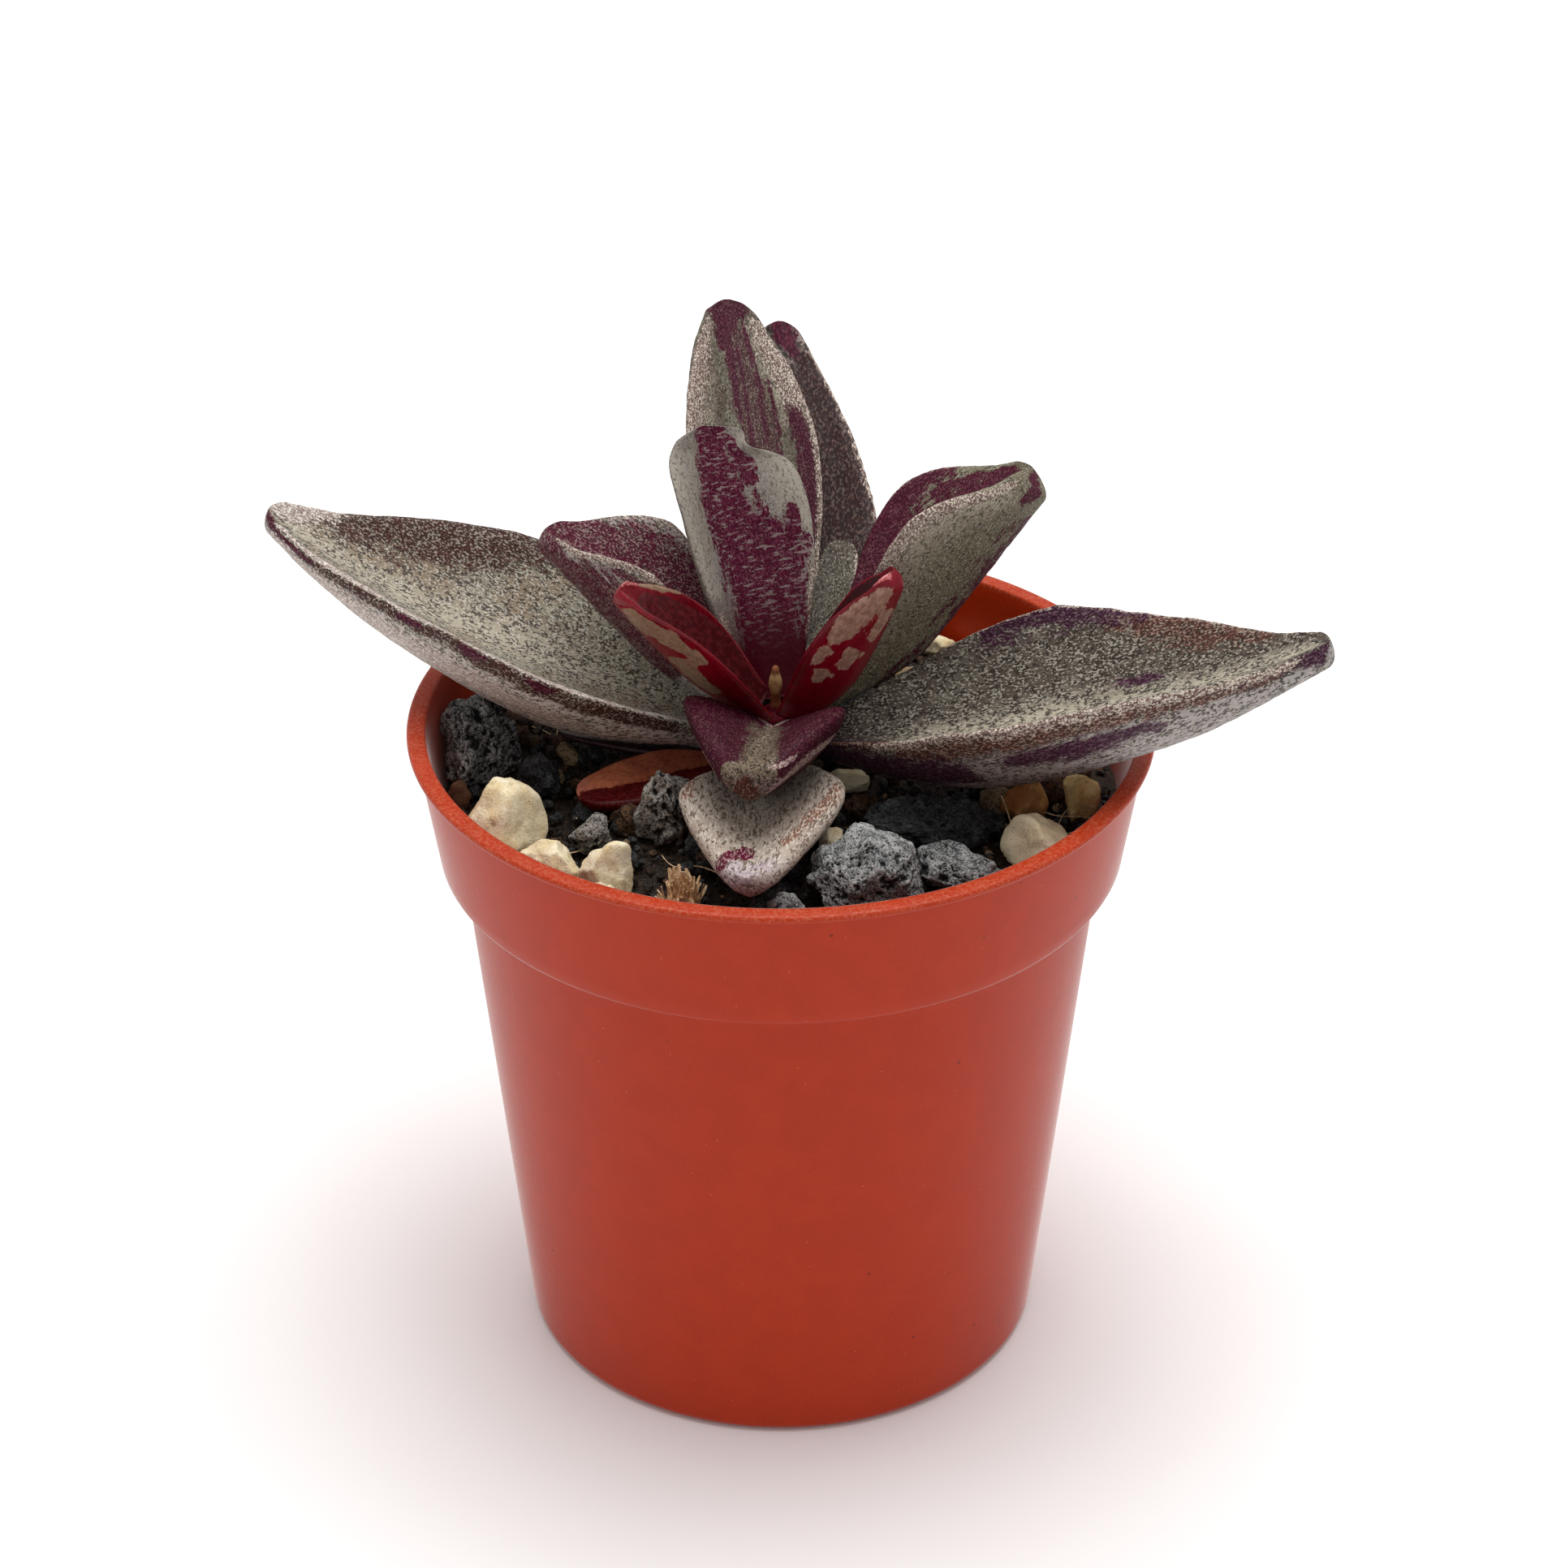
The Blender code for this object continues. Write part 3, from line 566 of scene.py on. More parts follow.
# Where a leaf starts: its height, and its reach from the stem's axis. Heading and rise are its direction there,
# turn and lift what is added to them up to the tip, roll and twist the same for its section. Mesh is the number
# of rings along it and of points round it.
LEAF_DEFAULTS = dict(reach=2.0, turn=0.0, lift=0.0, roll=0.0, twist=0.0, channel=0.6, channel_power=1.5,
                     widest=0.45, flare=1.1, taper=1.8, point=0.8, nose=1.0, foot=2.4, neck=1.0,
                     slot="leaf_grey_green", mesh=(80, 72))
LEAVES = {
    "leaf_left_large": dict(
        height=49.1, heading=170, rise=12, lift=21, turn=-3, length=39.2, width=17.0, thick=4.5, roll=5,
        channel_power=1.7, widest=0.44, taper=1.5, point=0.98, mesh=(168, 112)),
    "leaf_right_large": dict(
        height=48.9, heading=-18, rise=11, lift=21, turn=-2, length=41.9, width=16.0, thick=4.8, roll=-7, twist=2,
        channel=0.65, channel_power=1.7, widest=0.47, taper=1.3, point=1.0, reach=2.1, mesh=(168, 112)),
    "leaf_back_tall": dict(
        height=50.0, heading=97, rise=38, lift=12, turn=3, length=32.5, width=10.2, thick=2.6, roll=-4, twist=-6,
        channel=0.64, channel_power=1.65, widest=0.58, taper=1.9, flare=0.9, reach=2.3, mesh=(132, 88)),
    "leaf_back_low": dict(
        height=48.2, heading=87, rise=25, lift=17, turn=5, length=35.5, width=14.5, thick=3.0, roll=-10, twist=-4,
        channel=0.4, channel_power=1.6, widest=0.41, taper=1.6, point=0.9, reach=2.3, mesh=(120, 80)),
    "leaf_back_small": dict(
        height=49.6, heading=65.5, rise=31, turn=14, length=15.0, width=4.0, thick=1.1, channel=0.3, flare=1.6,
        neck=0.6, foot=1.0, reach=3.0),
    "leaf_back_inner": dict(
        height=51.12, heading=110, rise=54.5, turn=8, length=20.9, width=11.2, thick=1.9, roll=-14, twist=2,
        channel_power=1.45, widest=0.7, taper=2.5, point=0.66, flare=1.0, foot=4.0, reach=1.54,
        slot="leaf_purple", mesh=(120, 88)),
    "leaf_left_middle": dict(
        height=50.37, heading=160.5, rise=43.5, lift=-3, turn=16, length=20.4, width=10.8, thick=2.6, roll=-6,
        twist=-2, channel=1.0, widest=0.63, taper=1.4, point=0.85, flare=2.8, reach=2.2, slot="leaf_purple",
        mesh=(110, 88)),
    "leaf_right_middle": dict(
        height=50.5, heading=22, rise=51, lift=-9, turn=-17, length=24.9, width=10.4, thick=4.4, roll=12, twist=5,
        channel=1.0, channel_power=1.45, widest=0.67, taper=1.65, flare=3.0, reach=2.3, mesh=(120, 88)),
    "leaf_left_red": dict(
        height=51.5, heading=211, rise=50.5, lift=-3, turn=6, length=17.9, width=5.4, thick=2.0, roll=29,
        channel=0.9, channel_power=1.3, widest=0.5, taper=1.7, point=0.83, flare=1.4, nose=0.8, foot=3.0,
        neck=1.2, reach=1.45, slot="leaf_red"),
    "leaf_right_red": dict(
        height=51.4, heading=-28, rise=58.5, lift=2.5, turn=3, length=15.7, width=5.4, thick=2.4, roll=-9, twist=6,
        channel=0.84, channel_power=1.45, widest=0.51, taper=1.85, flare=1.2, nose=0.8, foot=3.0, neck=1.3,
        reach=1.53, slot="leaf_red"),
    "leaf_front_upper": dict(
        height=50.9, heading=-96, rise=21, lift=-7, turn=-2, length=15.4, width=11.7, thick=4.1, roll=4, twist=-7,
        channel=0.67, channel_power=1.2, widest=0.44, taper=1.35, point=0.88, slot="leaf_purple", mesh=(100, 96)),
    "leaf_front_lower": dict(
        height=48.2, heading=-94.5, rise=4, lift=3, turn=-1, length=20.1, width=12.0, thick=3.4, roll=-3,
        channel=0.45, channel_power=1.15, widest=0.46, taper=1.45, point=0.95, mesh=(110, 96)),
    "leaf_soil_left": dict(
        height=47.8, heading=204, rise=-2, lift=3, length=13.6, width=5.6, thick=2.2, roll=10, channel=0.15,
        widest=0.5, flare=1.7, foot=1.2, neck=0.7, reach=2.2, slot="leaf_brown"),
    "leaf_soil_shaded": dict(
        height=47.6, heading=166, rise=-1, lift=1, length=14.6, width=4.8, thick=1.2, channel=0.1, flare=1.6,
        foot=1.2, neck=0.7, reach=2.2, slot="leaf_purple"),
}


# A look: skin and warm are the two tones of the skin, under that of its underside, its own paler wax, on the large
# left leaf lifted as painted light for the side that faces down; speck and pale its dark and light dots; deep is
# painted shade darkening the leaf feet, on the inner back leaf also the crimson of its base; bloom is for the waxy
# sheen, crust and crack for the corky margins, wine and brown for patches. Strokes put bloom, crust, wine, brown
# and the painted foot shade (for deep) in their places along the leaf.
KHAKI = dict(
    skin=(148, 143, 126), warm=(138, 121, 102), pale=(208, 200, 184), under=(186, 178, 176), speck=(56, 46, 37),
    wine=(58, 0, 27), wine_light=(94, 16, 50), brown=(78, 44, 38), brown_light=(132, 96, 82),
    crust=(216, 204, 190), crack=(104, 78, 72), deep=(44, 20, 28), bloom=(176, 167, 148), stretch=0.6, fine=4.6,
    cover=0.49, depth=0.9, flecks=0.65, clumps=0.35, flake=2.4, clean=0.82, rim=1.0, rim_from=0.8, solid=0.7,
    calm=1.0, crumble=1.3, thin_tip=0.0, ripples=0.0, veins=0.0, streak=1.3, edge=0.10, ragged=2.2, relief=0.07,
    gloss=0.55, specular=0.2, coat=0.0, wave=0.3, bumps=1.0, grooves=0.0, dents=())
CRIMSON = dict(
    crack=(160, 60, 64), depth=0.25, flecks=0.2, clumps=0.6, relief=0.015, specular=0.28, wave=0.05, bumps=0.5)
# Strokes of painted shade over the feet of the two large leaves.
SHADED_FOOT = [[(0.0, 90, 200), (0.03, 90, 160), (0.10, 90, 60)]]


def khaki(seed, strokes, **changes):
    """The usual look with its own strokes and some other values."""
    return {**KHAKI, **changes, "seed": seed, "strokes": strokes}


LOOKS = {
    "leaf_left_large": khaki(1, dict(
        wine=[[(0.955, -8, 13), (0.985, 5, 28)], [(0.90, 0, 8), (0.93, -4, 9)], [(0.66, 2, 8), (0.67, 2, 8)],
              [(0.53, 0, 7), (0.54, 0, 7)], [(0.39, -2, 7), (0.395, -2, 7)]],
        brown=[[(0.46, 156, 14), (0.6, 156, 34), (0.7, 156, 40), (0.8, 154, 40), (0.93, 146, 36)],
               [(0.14, -4, 14), (0.32, -3, 14), (0.5, 0, 13), (0.7, 1, 13), (0.92, -3, 13)],
               [(0.18, 32, 16), (0.28, 26, 14)]],
        crust=[[(0.15, 24, 8), (0.4, 24, 9), (0.6, 26, 9), (0.8, 26, 10), (0.95, 22, 12)],
               [(0.3, 324, 7), (0.45, 322, 13), (0.6, 321, 18), (0.8, 323, 21), (0.95, 328, 20)],
               [(0.90, 150, 30), (0.99, 120, 60)]],
        bloom=[[(0.2, 97, 9), (0.45, 93, 12), (0.65, 85, 13), (0.8, 80, 14), (0.95, 78, 20)]],
        foot_shade_and_tint=SHADED_FOOT),
        # The pale underside is partly frosty wax and partly painted light for the side that faces down.
        under=(216, 208, 204), pale=(220, 213, 200), brown=(60, 31, 28), brown_light=(98, 66, 56),
        crust=(228, 220, 212), crack=(146, 126, 118), fine=3.9, clumps=0.6, cover=0.50, calm=0.6, thin_tip=0.25,
        grooves=0.015),
    "leaf_right_large": khaki(2, dict(
        wine=[[(0.93, 176, 16), (0.96, 178, 22), (0.985, 180, 34)], [(0.70, 177, 7), (0.78, 178, 9), (0.87, 178, 8)],
              [(0.34, 22, 16), (0.45, 20, 18), (0.56, 18, 17), (0.63, 16, 12)],
              [(0.46, 214, 8), (0.58, 214, 11), (0.68, 212, 7)], [(0.61, 74, 4), (0.65, 74, 4)],
              [(0.08, 120, 30), (0.16, 128, 22), (0.24, 134, 12)],
              [(0.05, 200, 40), (0.2, 215, 24), (0.34, 220, 12)]],
        brown=[[(0.58, 26, 16), (0.74, 30, 24), (0.86, 34, 20)], [(0.25, 192, 12), (0.5, 190, 14), (0.9, 186, 12)],
               [(0.1, 160, 22), (0.2, 166, 18)], [(0.7, 120, 9), (0.74, 118, 9)]],
        crust=[[(0.2, 176, 9), (0.4, 174, 12), (0.6, 174, 13), (0.8, 174, 12), (0.93, 172, 12)],
               [(0.25, 6, 10), (0.5, 4, 12), (0.7, 4, 12), (0.98, 10, 20)]],
        bloom=[[(0.2, 92, 8), (0.45, 90, 12), (0.65, 94, 14), (0.8, 96, 16), (0.95, 96, 24)],
               [(0.2, 165, 12), (0.9, 164, 14)]],
        foot_shade_and_tint=SHADED_FOOT),
        skin=(99, 91, 81), warm=(84, 73, 64), speck=(46, 38, 33), under=(164, 156, 154), wine=(50, 10, 36),
        wine_light=(90, 54, 76), flecks=0.55, edge=0.22, fine=3.5, clumps=0.8, cover=0.505, thin_tip=0.25,
        grooves=0.02),
    "leaf_back_tall": khaki(3, dict(
        wine=[[(0.90, 76, 10), (0.94, 80, 26), (0.96, 84, 60), (0.99, 90, 120)],
              [(0.72, 90, 2.5), (0.92, 84, 6)], [(0.56, 99, 2), (0.66, 98, 2.5), (0.86, 97, 3)],
              [(0.66, 110, 2), (0.76, 112, 2.5), (0.92, 114, 4)], [(0.58, 120, 2), (0.78, 123, 2.5)],
              [(0.34, 150, 7), (0.42, 148, 10), (0.52, 147, 12), (0.62, 146, 12), (0.72, 142, 10), (0.80, 136, 6)]],
        brown=[[(0.50, 108, 9), (0.6, 108, 13), (0.72, 104, 16), (0.85, 96, 18), (0.93, 90, 22)],
               [(0.5, 86, 5), (0.62, 84, 6)]],
        crust=[[(0.62, 30, 20), (0.75, 28, 26), (0.86, 34, 20), (0.93, 40, 14)], [(0.3, 12, 10), (0.7, 10, 12)],
               [(0.74, 146, 16), (0.85, 144, 20), (0.92, 140, 16)], [(0.3, 168, 12), (0.6, 170, 12), (0.8, 168, 12)]],
        bloom=[[(0.5, 40, 18), (0.8, 36, 20)], [(0.7, 140, 14), (0.92, 134, 16)]],
        foot_shade_and_tint=[[(0.0, 90, 400), (0.13, 90, 300), (0.20, 90, 150), (0.30, 90, 60)]]),
        skin=(116, 112, 97), warm=(100, 85, 76), pale=(184, 178, 162), brown=(74, 42, 44),
        brown_light=(108, 84, 80), wine=(62, 12, 33), wine_light=(96, 44, 62), fine=5.0, grooves=0.03, wave=0.15,
        depth=0.75, cover=0.48, veins=0.55, streak=2.4, ragged=1.8, edge=0.15, flecks=0.4, clean=0.8),
    "leaf_back_low": khaki(4, dict(
        wine=[[(0.93, 112, 14), (0.97, 104, 40), (0.99, 100, 60)]],
        brown=[[(0.2, 120, 50), (0.4, 122, 44), (0.6, 126, 40), (0.9, 130, 26)]],
        crust=[[(0.4, 172, 10), (0.7, 172, 12), (0.9, 168, 14)]],
        bloom=[[(0.6, 150, 30), (0.95, 140, 40)]],
        foot_shade_and_tint=[[(0.0, 110, 90), (0.2, 110, 60), (0.42, 112, 22)]]),
        skin=(84, 66, 62), warm=(70, 50, 48), pale=(156, 142, 132), speck=(32, 20, 20), brown=(46, 22, 21),
        brown_light=(78, 52, 47), bloom=(158, 140, 134), fine=2.7, flecks=0.35, clumps=1.1, cover=0.51, wave=0.15),
    "leaf_back_small": khaki(5, dict(
        crust=[[(0.4, 172, 14), (0.9, 168, 18)]], brown=[[(0.1, 90, 60), (0.3, 90, 40)]]),
        skin=(97, 91, 78), warm=(84, 73, 62), speck=(46, 38, 32), wave=0.1, bumps=0.6, flecks=0.4),
    "leaf_back_inner": khaki(6, dict(
        wine=[[(0.90, 96, 14), (0.96, 100, 26), (0.99, 100, 50)],
              [(0.05, 104, 54), (0.2, 104, 46), (0.35, 108, 42), (0.45, 110, 46), (0.54, 108, 44), (0.62, 94, 30),
               (0.75, 88, 24), (0.88, 90, 18), (0.97, 96, 22)],
              [(0.56, 140, 8), (0.64, 142, 6)], [(0.78, 116, 7), (0.86, 120, 10), (0.93, 122, 9)],
              [(0.02, 140, 40), (0.12, 146, 22), (0.22, 158, 12), (0.28, 164, 8)]],
        crust=[[(0.2, 166, 10), (0.4, 166, 10)], [(0.15, 40, 14), (0.3, 30, 12)]],
        bloom=[[(0.3, 156, 18), (0.9, 152, 22)], [(0.4, 30, 22), (0.9, 30, 26)]],
        foot_shade_and_tint=[[(0.0, 90, 400), (0.12, 90, 340), (0.22, 80, 120), (0.42, 74, 50)]]),
        skin=(126, 119, 113), warm=(124, 114, 104), pale=(180, 174, 166), speck=(72, 62, 58), bloom=(156, 148, 136),
        # Its feet are painted darker towards deep crimson: painted shade, and the crimson of its base.
        wine=(64, 6, 32), wine_light=(98, 24, 54), deep=(56, 0, 12), cover=0.455, depth=0.65, specular=0.08,
        edge=0.08, ragged=1.5, crumble=0.9, fine=5.0, flecks=0.45, grooves=0.02, wave=0.1, bumps=0.8, ripples=0.35,
        dents=((0.895, -1, 0.045, 1.8),)),
    "leaf_left_middle": khaki(7, dict(
        wine=[[(0.0, 90, 180), (0.3, 110, 70), (0.5, 116, 40), (0.7, 118, 38), (0.9, 110, 60), (0.99, 90, 180)],
              [(0.3, 300, 40), (0.5, 300, 34), (0.7, 300, 30), (0.9, 310, 34), (0.97, 320, 60)],
              [(0.62, 338, 8), (0.74, 338, 8)]],
        crust=[[(0.4, 2, 14), (0.65, 4, 18), (0.8, 6, 18), (0.94, 10, 14)], [(0.4, 172, 12), (0.8, 172, 14)]],
        brown=[[(0.3, 338, 9), (0.5, 330, 8)]],
        bloom=[[(0.4, 345, 20), (0.9, 345, 16)], [(0.5, 150, 20), (0.8, 150, 24)]]),
        skin=(134, 124, 114), warm=(124, 104, 102), wine=(76, 14, 38), wine_light=(116, 46, 68),
        bloom=(176, 162, 158), edge=0.12, ragged=2.4, wave=0.12, bumps=0.8, flecks=0.75, clean=0.55),
    "leaf_right_middle": khaki(8, dict(
        wine=[[(0.0, 90, 180), (0.15, 60, 60), (0.35, 44, 46), (0.5, 38, 36), (0.62, 30, 26), (0.78, 22, 16)],
              [(0.60, 64, 7), (0.8, 60, 9), (0.94, 58, 14)], [(0.72, 48, 5), (0.92, 46, 8)],
              [(0.95, 226, 9), (0.975, 222, 16), (0.99, 214, 30)],
              [(0.2, 290, 40), (0.45, 294, 39), (0.7, 290, 37), (0.88, 284, 38)], [(0.80, 186, 6), (0.86, 186, 8)]],
        crust=[[(0.35, 178, 14), (0.5, 178, 17), (0.7, 178, 17), (0.84, 180, 14), (0.93, 182, 10)],
               [(0.6, 8, 8), (0.9, 12, 10)]],
        brown=[[(0.28, 196, 9), (0.4, 198, 7)]],
        bloom=[[(0.3, 188, 22), (0.9, 190, 22)]]),
        skin=(122, 117, 98), warm=(108, 98, 78), under=(112, 104, 84), speck=(58, 48, 38), bloom=(166, 156, 138),
        wine=(60, 0, 26), depth=0.75, cover=0.475, fine=5.0, wave=0.12, flake=2.2, ragged=2.4, flecks=0.45),
    "leaf_left_red": khaki(9, dict(
        brown=[[(0.64, 326, 18), (0.75, 322, 32), (0.85, 322, 36), (0.93, 326, 28)],
               [(0.54, 336, 12), (0.61, 338, 14)], [(0.3, 304, 12), (0.42, 300, 18), (0.56, 300, 18)],
               [(0.70, 158, 10), (0.8, 156, 15), (0.87, 152, 12)]],
        wine=[[(0.0, 100, 60), (0.5, 96, 48), (0.85, 92, 40)]],
        crust=[[(0.3, 176, 4), (0.6, 176, 5), (0.9, 174, 6)], [(0.93, 150, 14), (0.98, 150, 26)]]),
        **CRIMSON, skin=(128, 0, 24), warm=(98, 0, 17), pale=(146, 8, 36), under=(122, 0, 22), speck=(84, 1, 9),
        brown=(134, 106, 84), brown_light=(154, 126, 102), wine=(78, 20, 26), wine_light=(100, 32, 38),
        crust=(204, 140, 130), calm=0.12, crumble=0.3, fine=1.6, edge=0.03, ragged=2.4, gloss=0.3, coat=0.15),
    "leaf_right_red": khaki(10, dict(
        brown=[[(0.60, 204, 12), (0.7, 208, 26), (0.85, 210, 34), (0.93, 206, 24)],
               [(0.45, 198, 9), (0.52, 202, 13)], [(0.34, 212, 8), (0.39, 214, 13)],
               [(0.47, 234, 8), (0.56, 238, 12)], [(0.66, 250, 8), (0.82, 252, 11)]],
        wine=[[(0.0, 80, 60), (0.4, 70, 40), (0.85, 64, 34)]],
        crust=[[(0.95, 150, 12), (0.98, 170, 24)]]),
        **CRIMSON, skin=(126, 0, 26), warm=(98, 0, 18), pale=(148, 10, 42), under=(120, 0, 24), speck=(84, 1, 10),
        brown=(146, 108, 92), brown_light=(172, 136, 118), wine=(46, 3, 10), wine_light=(66, 4, 16),
        crust=(206, 132, 130), calm=0.2, crumble=0.4, fine=1.8, edge=0.04, ragged=3.0, streak=1.8, gloss=0.34,
        coat=0.12),
    "leaf_front_upper": khaki(11, dict(
        wine=[[(0.0, 166, 68), (0.3, 166, 68), (0.5, 167, 71), (0.7, 168, 71), (0.84, 172, 70), (0.90, 178, 66)],
              [(0.0, 14, 68), (0.3, 14, 67), (0.5, 15, 64), (0.62, 13, 62), (0.75, 10, 58), (0.85, 2, 52),
               (0.90, -6, 44)],
              [(0.3, 230, 60), (0.6, 220, 50), (0.85, 210, 40)], [(0.3, 320, 60), (0.7, 330, 50)]],
        crust=[[(0.5, 205, 5), (0.7, 206, 8), (0.85, 210, 12)],
               [(0.5, -28, 6), (0.65, -34, 14), (0.80, -40, 20), (0.90, -44, 24)],
               [(0.84, 8, 7), (0.92, 22, 9)], [(0.0, 90, 80), (0.04, 90, 60)]],
        brown=[[(0.95, 262, 34), (0.99, 262, 50)]],
        bloom=[[(0.3, 88, 10), (0.5, 86, 12), (0.7, 88, 16), (0.84, 90, 26), (0.95, 90, 70)]]),
        skin=(106, 93, 77), warm=(94, 80, 66), under=(104, 84, 80), speck=(40, 30, 25), pale=(176, 160, 144),
        bloom=(110, 96, 78), wine=(50, 0, 21), wine_light=(74, 0, 34), brown=(66, 30, 25), brown_light=(100, 62, 50),
        crust=(200, 184, 174), crack=(112, 74, 78), specular=0.14, edge=0.09, calm=0.22, solid=0.6, ragged=1.6,
        wave=0.12, fine=3.8, flecks=0.5, rim=1.5, rim_from=0.5),
    "leaf_front_lower": khaki(12, dict(
        wine=[[(0.79, 96, 9), (0.84, 108, 18), (0.875, 130, 26), (0.895, 156, 28)]],
        brown=[[(0.42, 24, 9), (0.55, 30, 11), (0.66, 38, 11), (0.78, 52, 8)], [(0.35, 158, 8), (0.5, 156, 9)]],
        bloom=[[(0.90, 90, 60), (0.95, 110, 110), (0.99, 200, 200)], [(0.80, 220, 24), (0.95, 220, 40)]]),
        skin=(182, 168, 154), warm=(170, 153, 140), pale=(220, 210, 198), under=(152, 134, 136),
        bloom=(176, 158, 166), speck=(88, 70, 56), brown=(128, 92, 78), brown_light=(186, 160, 142),
        wine=(84, 4, 40), wine_light=(118, 26, 60), fine=3.5, cover=0.475, depth=0.8, stretch=0.35, wave=0.15,
        solid=1.0, clean=0.5, calm=0.6, ragged=1.8, edge=0.08, rim=1.6, rim_from=0.5),
    "leaf_soil_left": khaki(13, dict(
        wine=[[(0.2, 44, 50), (0.6, 40, 52), (0.8, 38, 56), (0.97, 30, 76)], [(0.2, 300, 110), (0.9, 300, 100)]],
        bloom=[[(0.92, 160, 60), (0.99, 150, 90)]]),
        skin=(172, 98, 68), warm=(146, 72, 52), pale=(186, 126, 96), under=(66, 0, 6), speck=(92, 46, 32),
        bloom=(156, 92, 76), wine=(58, 0, 4), wine_light=(80, 4, 10), depth=0.35, fine=3.5, clumps=0.5,
        edge=0.05, ragged=0.5, crumble=0.3, gloss=0.38, specular=0.12, wave=0.05, bumps=0.5, flecks=0.2,
        relief=0.03),
    "leaf_soil_shaded": khaki(14, {},
        skin=(64, 36, 44), warm=(52, 28, 36), pale=(88, 62, 68), under=(40, 22, 28), speck=(34, 18, 24),
        depth=0.5, gloss=0.33, coat=0.3, wave=0.05, bumps=0.5, flecks=0.2),
}


# Pot, soil and stem

def slanted(radius_low, z_low, radius_high, z_high, z):
    return radius_low + (radius_high - radius_low) * (z - z_low) / (z_high - z_low)


def band_inner_radius(z):
    return slanted(BAND_BOTTOM_RADIUS, BAND_BOTTOM, BAND_TOP_RADIUS, POT_HEIGHT, z) - POT_WALL


def body_inner_radius(z):
    return slanted(POT_BASE_RADIUS, 0.0, POT_BODY_TOP_RADIUS, BAND_BOTTOM, z) - POT_WALL


def between(start, end, count):
    """Points of a straight stretch of an outline, without its ends."""
    return [(start[0] + (end[0] - start[0]) * i / count, start[1] + (end[1] - start[1]) * i / count)
            for i in range(1, count)]


def pot_profile():
    """The wall's outline from the middle of the underside, up the outside, over the mouth and down to the floor."""
    bead_low = POT_HEIGHT - BEAD_HEIGHT
    bead_round = BEAD_HEIGHT / 2
    ledge = BAND_BOTTOM + POT_WALL
    mouth = band_inner_radius(POT_HEIGHT)
    foot = arc(POT_BASE_RADIUS - POT_FOOT_ROUND, POT_FOOT_ROUND, POT_FOOT_ROUND, -90, 0, 8)
    neck = (POT_BODY_TOP_RADIUS, BAND_BOTTOM - 0.25)
    step_in = (POT_BODY_TOP_RADIUS + 0.25, BAND_BOTTOM)
    step_out = (BAND_BOTTOM_RADIUS - 0.35, BAND_BOTTOM)
    band_low = (BAND_BOTTOM_RADIUS, BAND_BOTTOM + 0.35)
    band_high = (BAND_TOP_RADIUS, bead_low)
    out = [(0.0, 0.0)] + foot + between(foot[-1], neck, 24) + [neck, (POT_BODY_TOP_RADIUS + 0.07, BAND_BOTTOM - 0.07)]
    out += [step_in, step_out, (BAND_BOTTOM_RADIUS - 0.14, BAND_BOTTOM + 0.07), band_low]
    out += between(band_low, band_high, 10) + [band_high]
    out += arc(BEAD_RADIUS - bead_round, bead_low + bead_round, bead_round, -70, 90, 9)
    inner = [(mouth + 0.2, POT_HEIGHT), (mouth + 0.06, POT_HEIGHT - 0.05), (mouth, POT_HEIGHT - 0.2)]
    low = (band_inner_radius(ledge + 0.3), ledge + 0.3)
    inner += between(inner[-1], low, 8) + [low, (band_inner_radius(ledge) - 0.3, ledge)]
    inner += [(body_inner_radius(ledge), ledge - 0.2)]
    floor = (body_inner_radius(POT_FLOOR + 0.8), POT_FLOOR + 0.8)
    inner += between(inner[-1], floor, 8) + [floor, (body_inner_radius(POT_FLOOR) - 0.8, POT_FLOOR), (0.0, POT_FLOOR)]
    return out + inner


def pot_material():
    """Satin moulded plastic: faint mottling, dust, a few dark specks, and a lip top painted lighter, partly wear and
    partly a painted highlight.
    """
    n = Nodes("terracotta_plastic")
    at = n.place()
    fine = n.noise(at, 5.5, 3.0, 0.6)
    # The lip top is painted lighter: partly wear, partly a painted highlight on its top face.
    wear_and_highlight = n.times(n.step(n.height(at), POT_HEIGHT - 0.5, POT_HEIGHT - 0.15),
                   n.step(n.noise(at, 4.4, 5.0, 0.75), 0.42, 0.66))
    colour = n.coats((175, 44, 1), ((170, 42, 1), n.noise(at, 0.35, 3.0, 0.6), 0.35, 0.65),
                     ((196, 68, 24), fine, 0.42, 0.66, 0.0, 0.16),
                     ((96, 24, 14), n.cells(at, 0.30), 0.030, 0.055, 0.75, 0.0),
                     ((222, 140, 116), n.cells(at, 0.62), 0.025, 0.05, 0.35, 0.0))
    colour = n.mix(n.times(wear_and_highlight, 0.45), colour, (204, 122, 92))
    normal = n.bump(n.times(n.noise(at, 1.2), 0.6, fine), 0.012, 0.6)
    return n.finish(colour, n.step(fine, 0.35, 0.65, 0.36, 0.44), normal, IOR=1.31, Sheen_Weight=0.95,
                    Sheen_Roughness=0.19, Sheen_Tint=(1.0, 0.90, 0.88, 1.0))


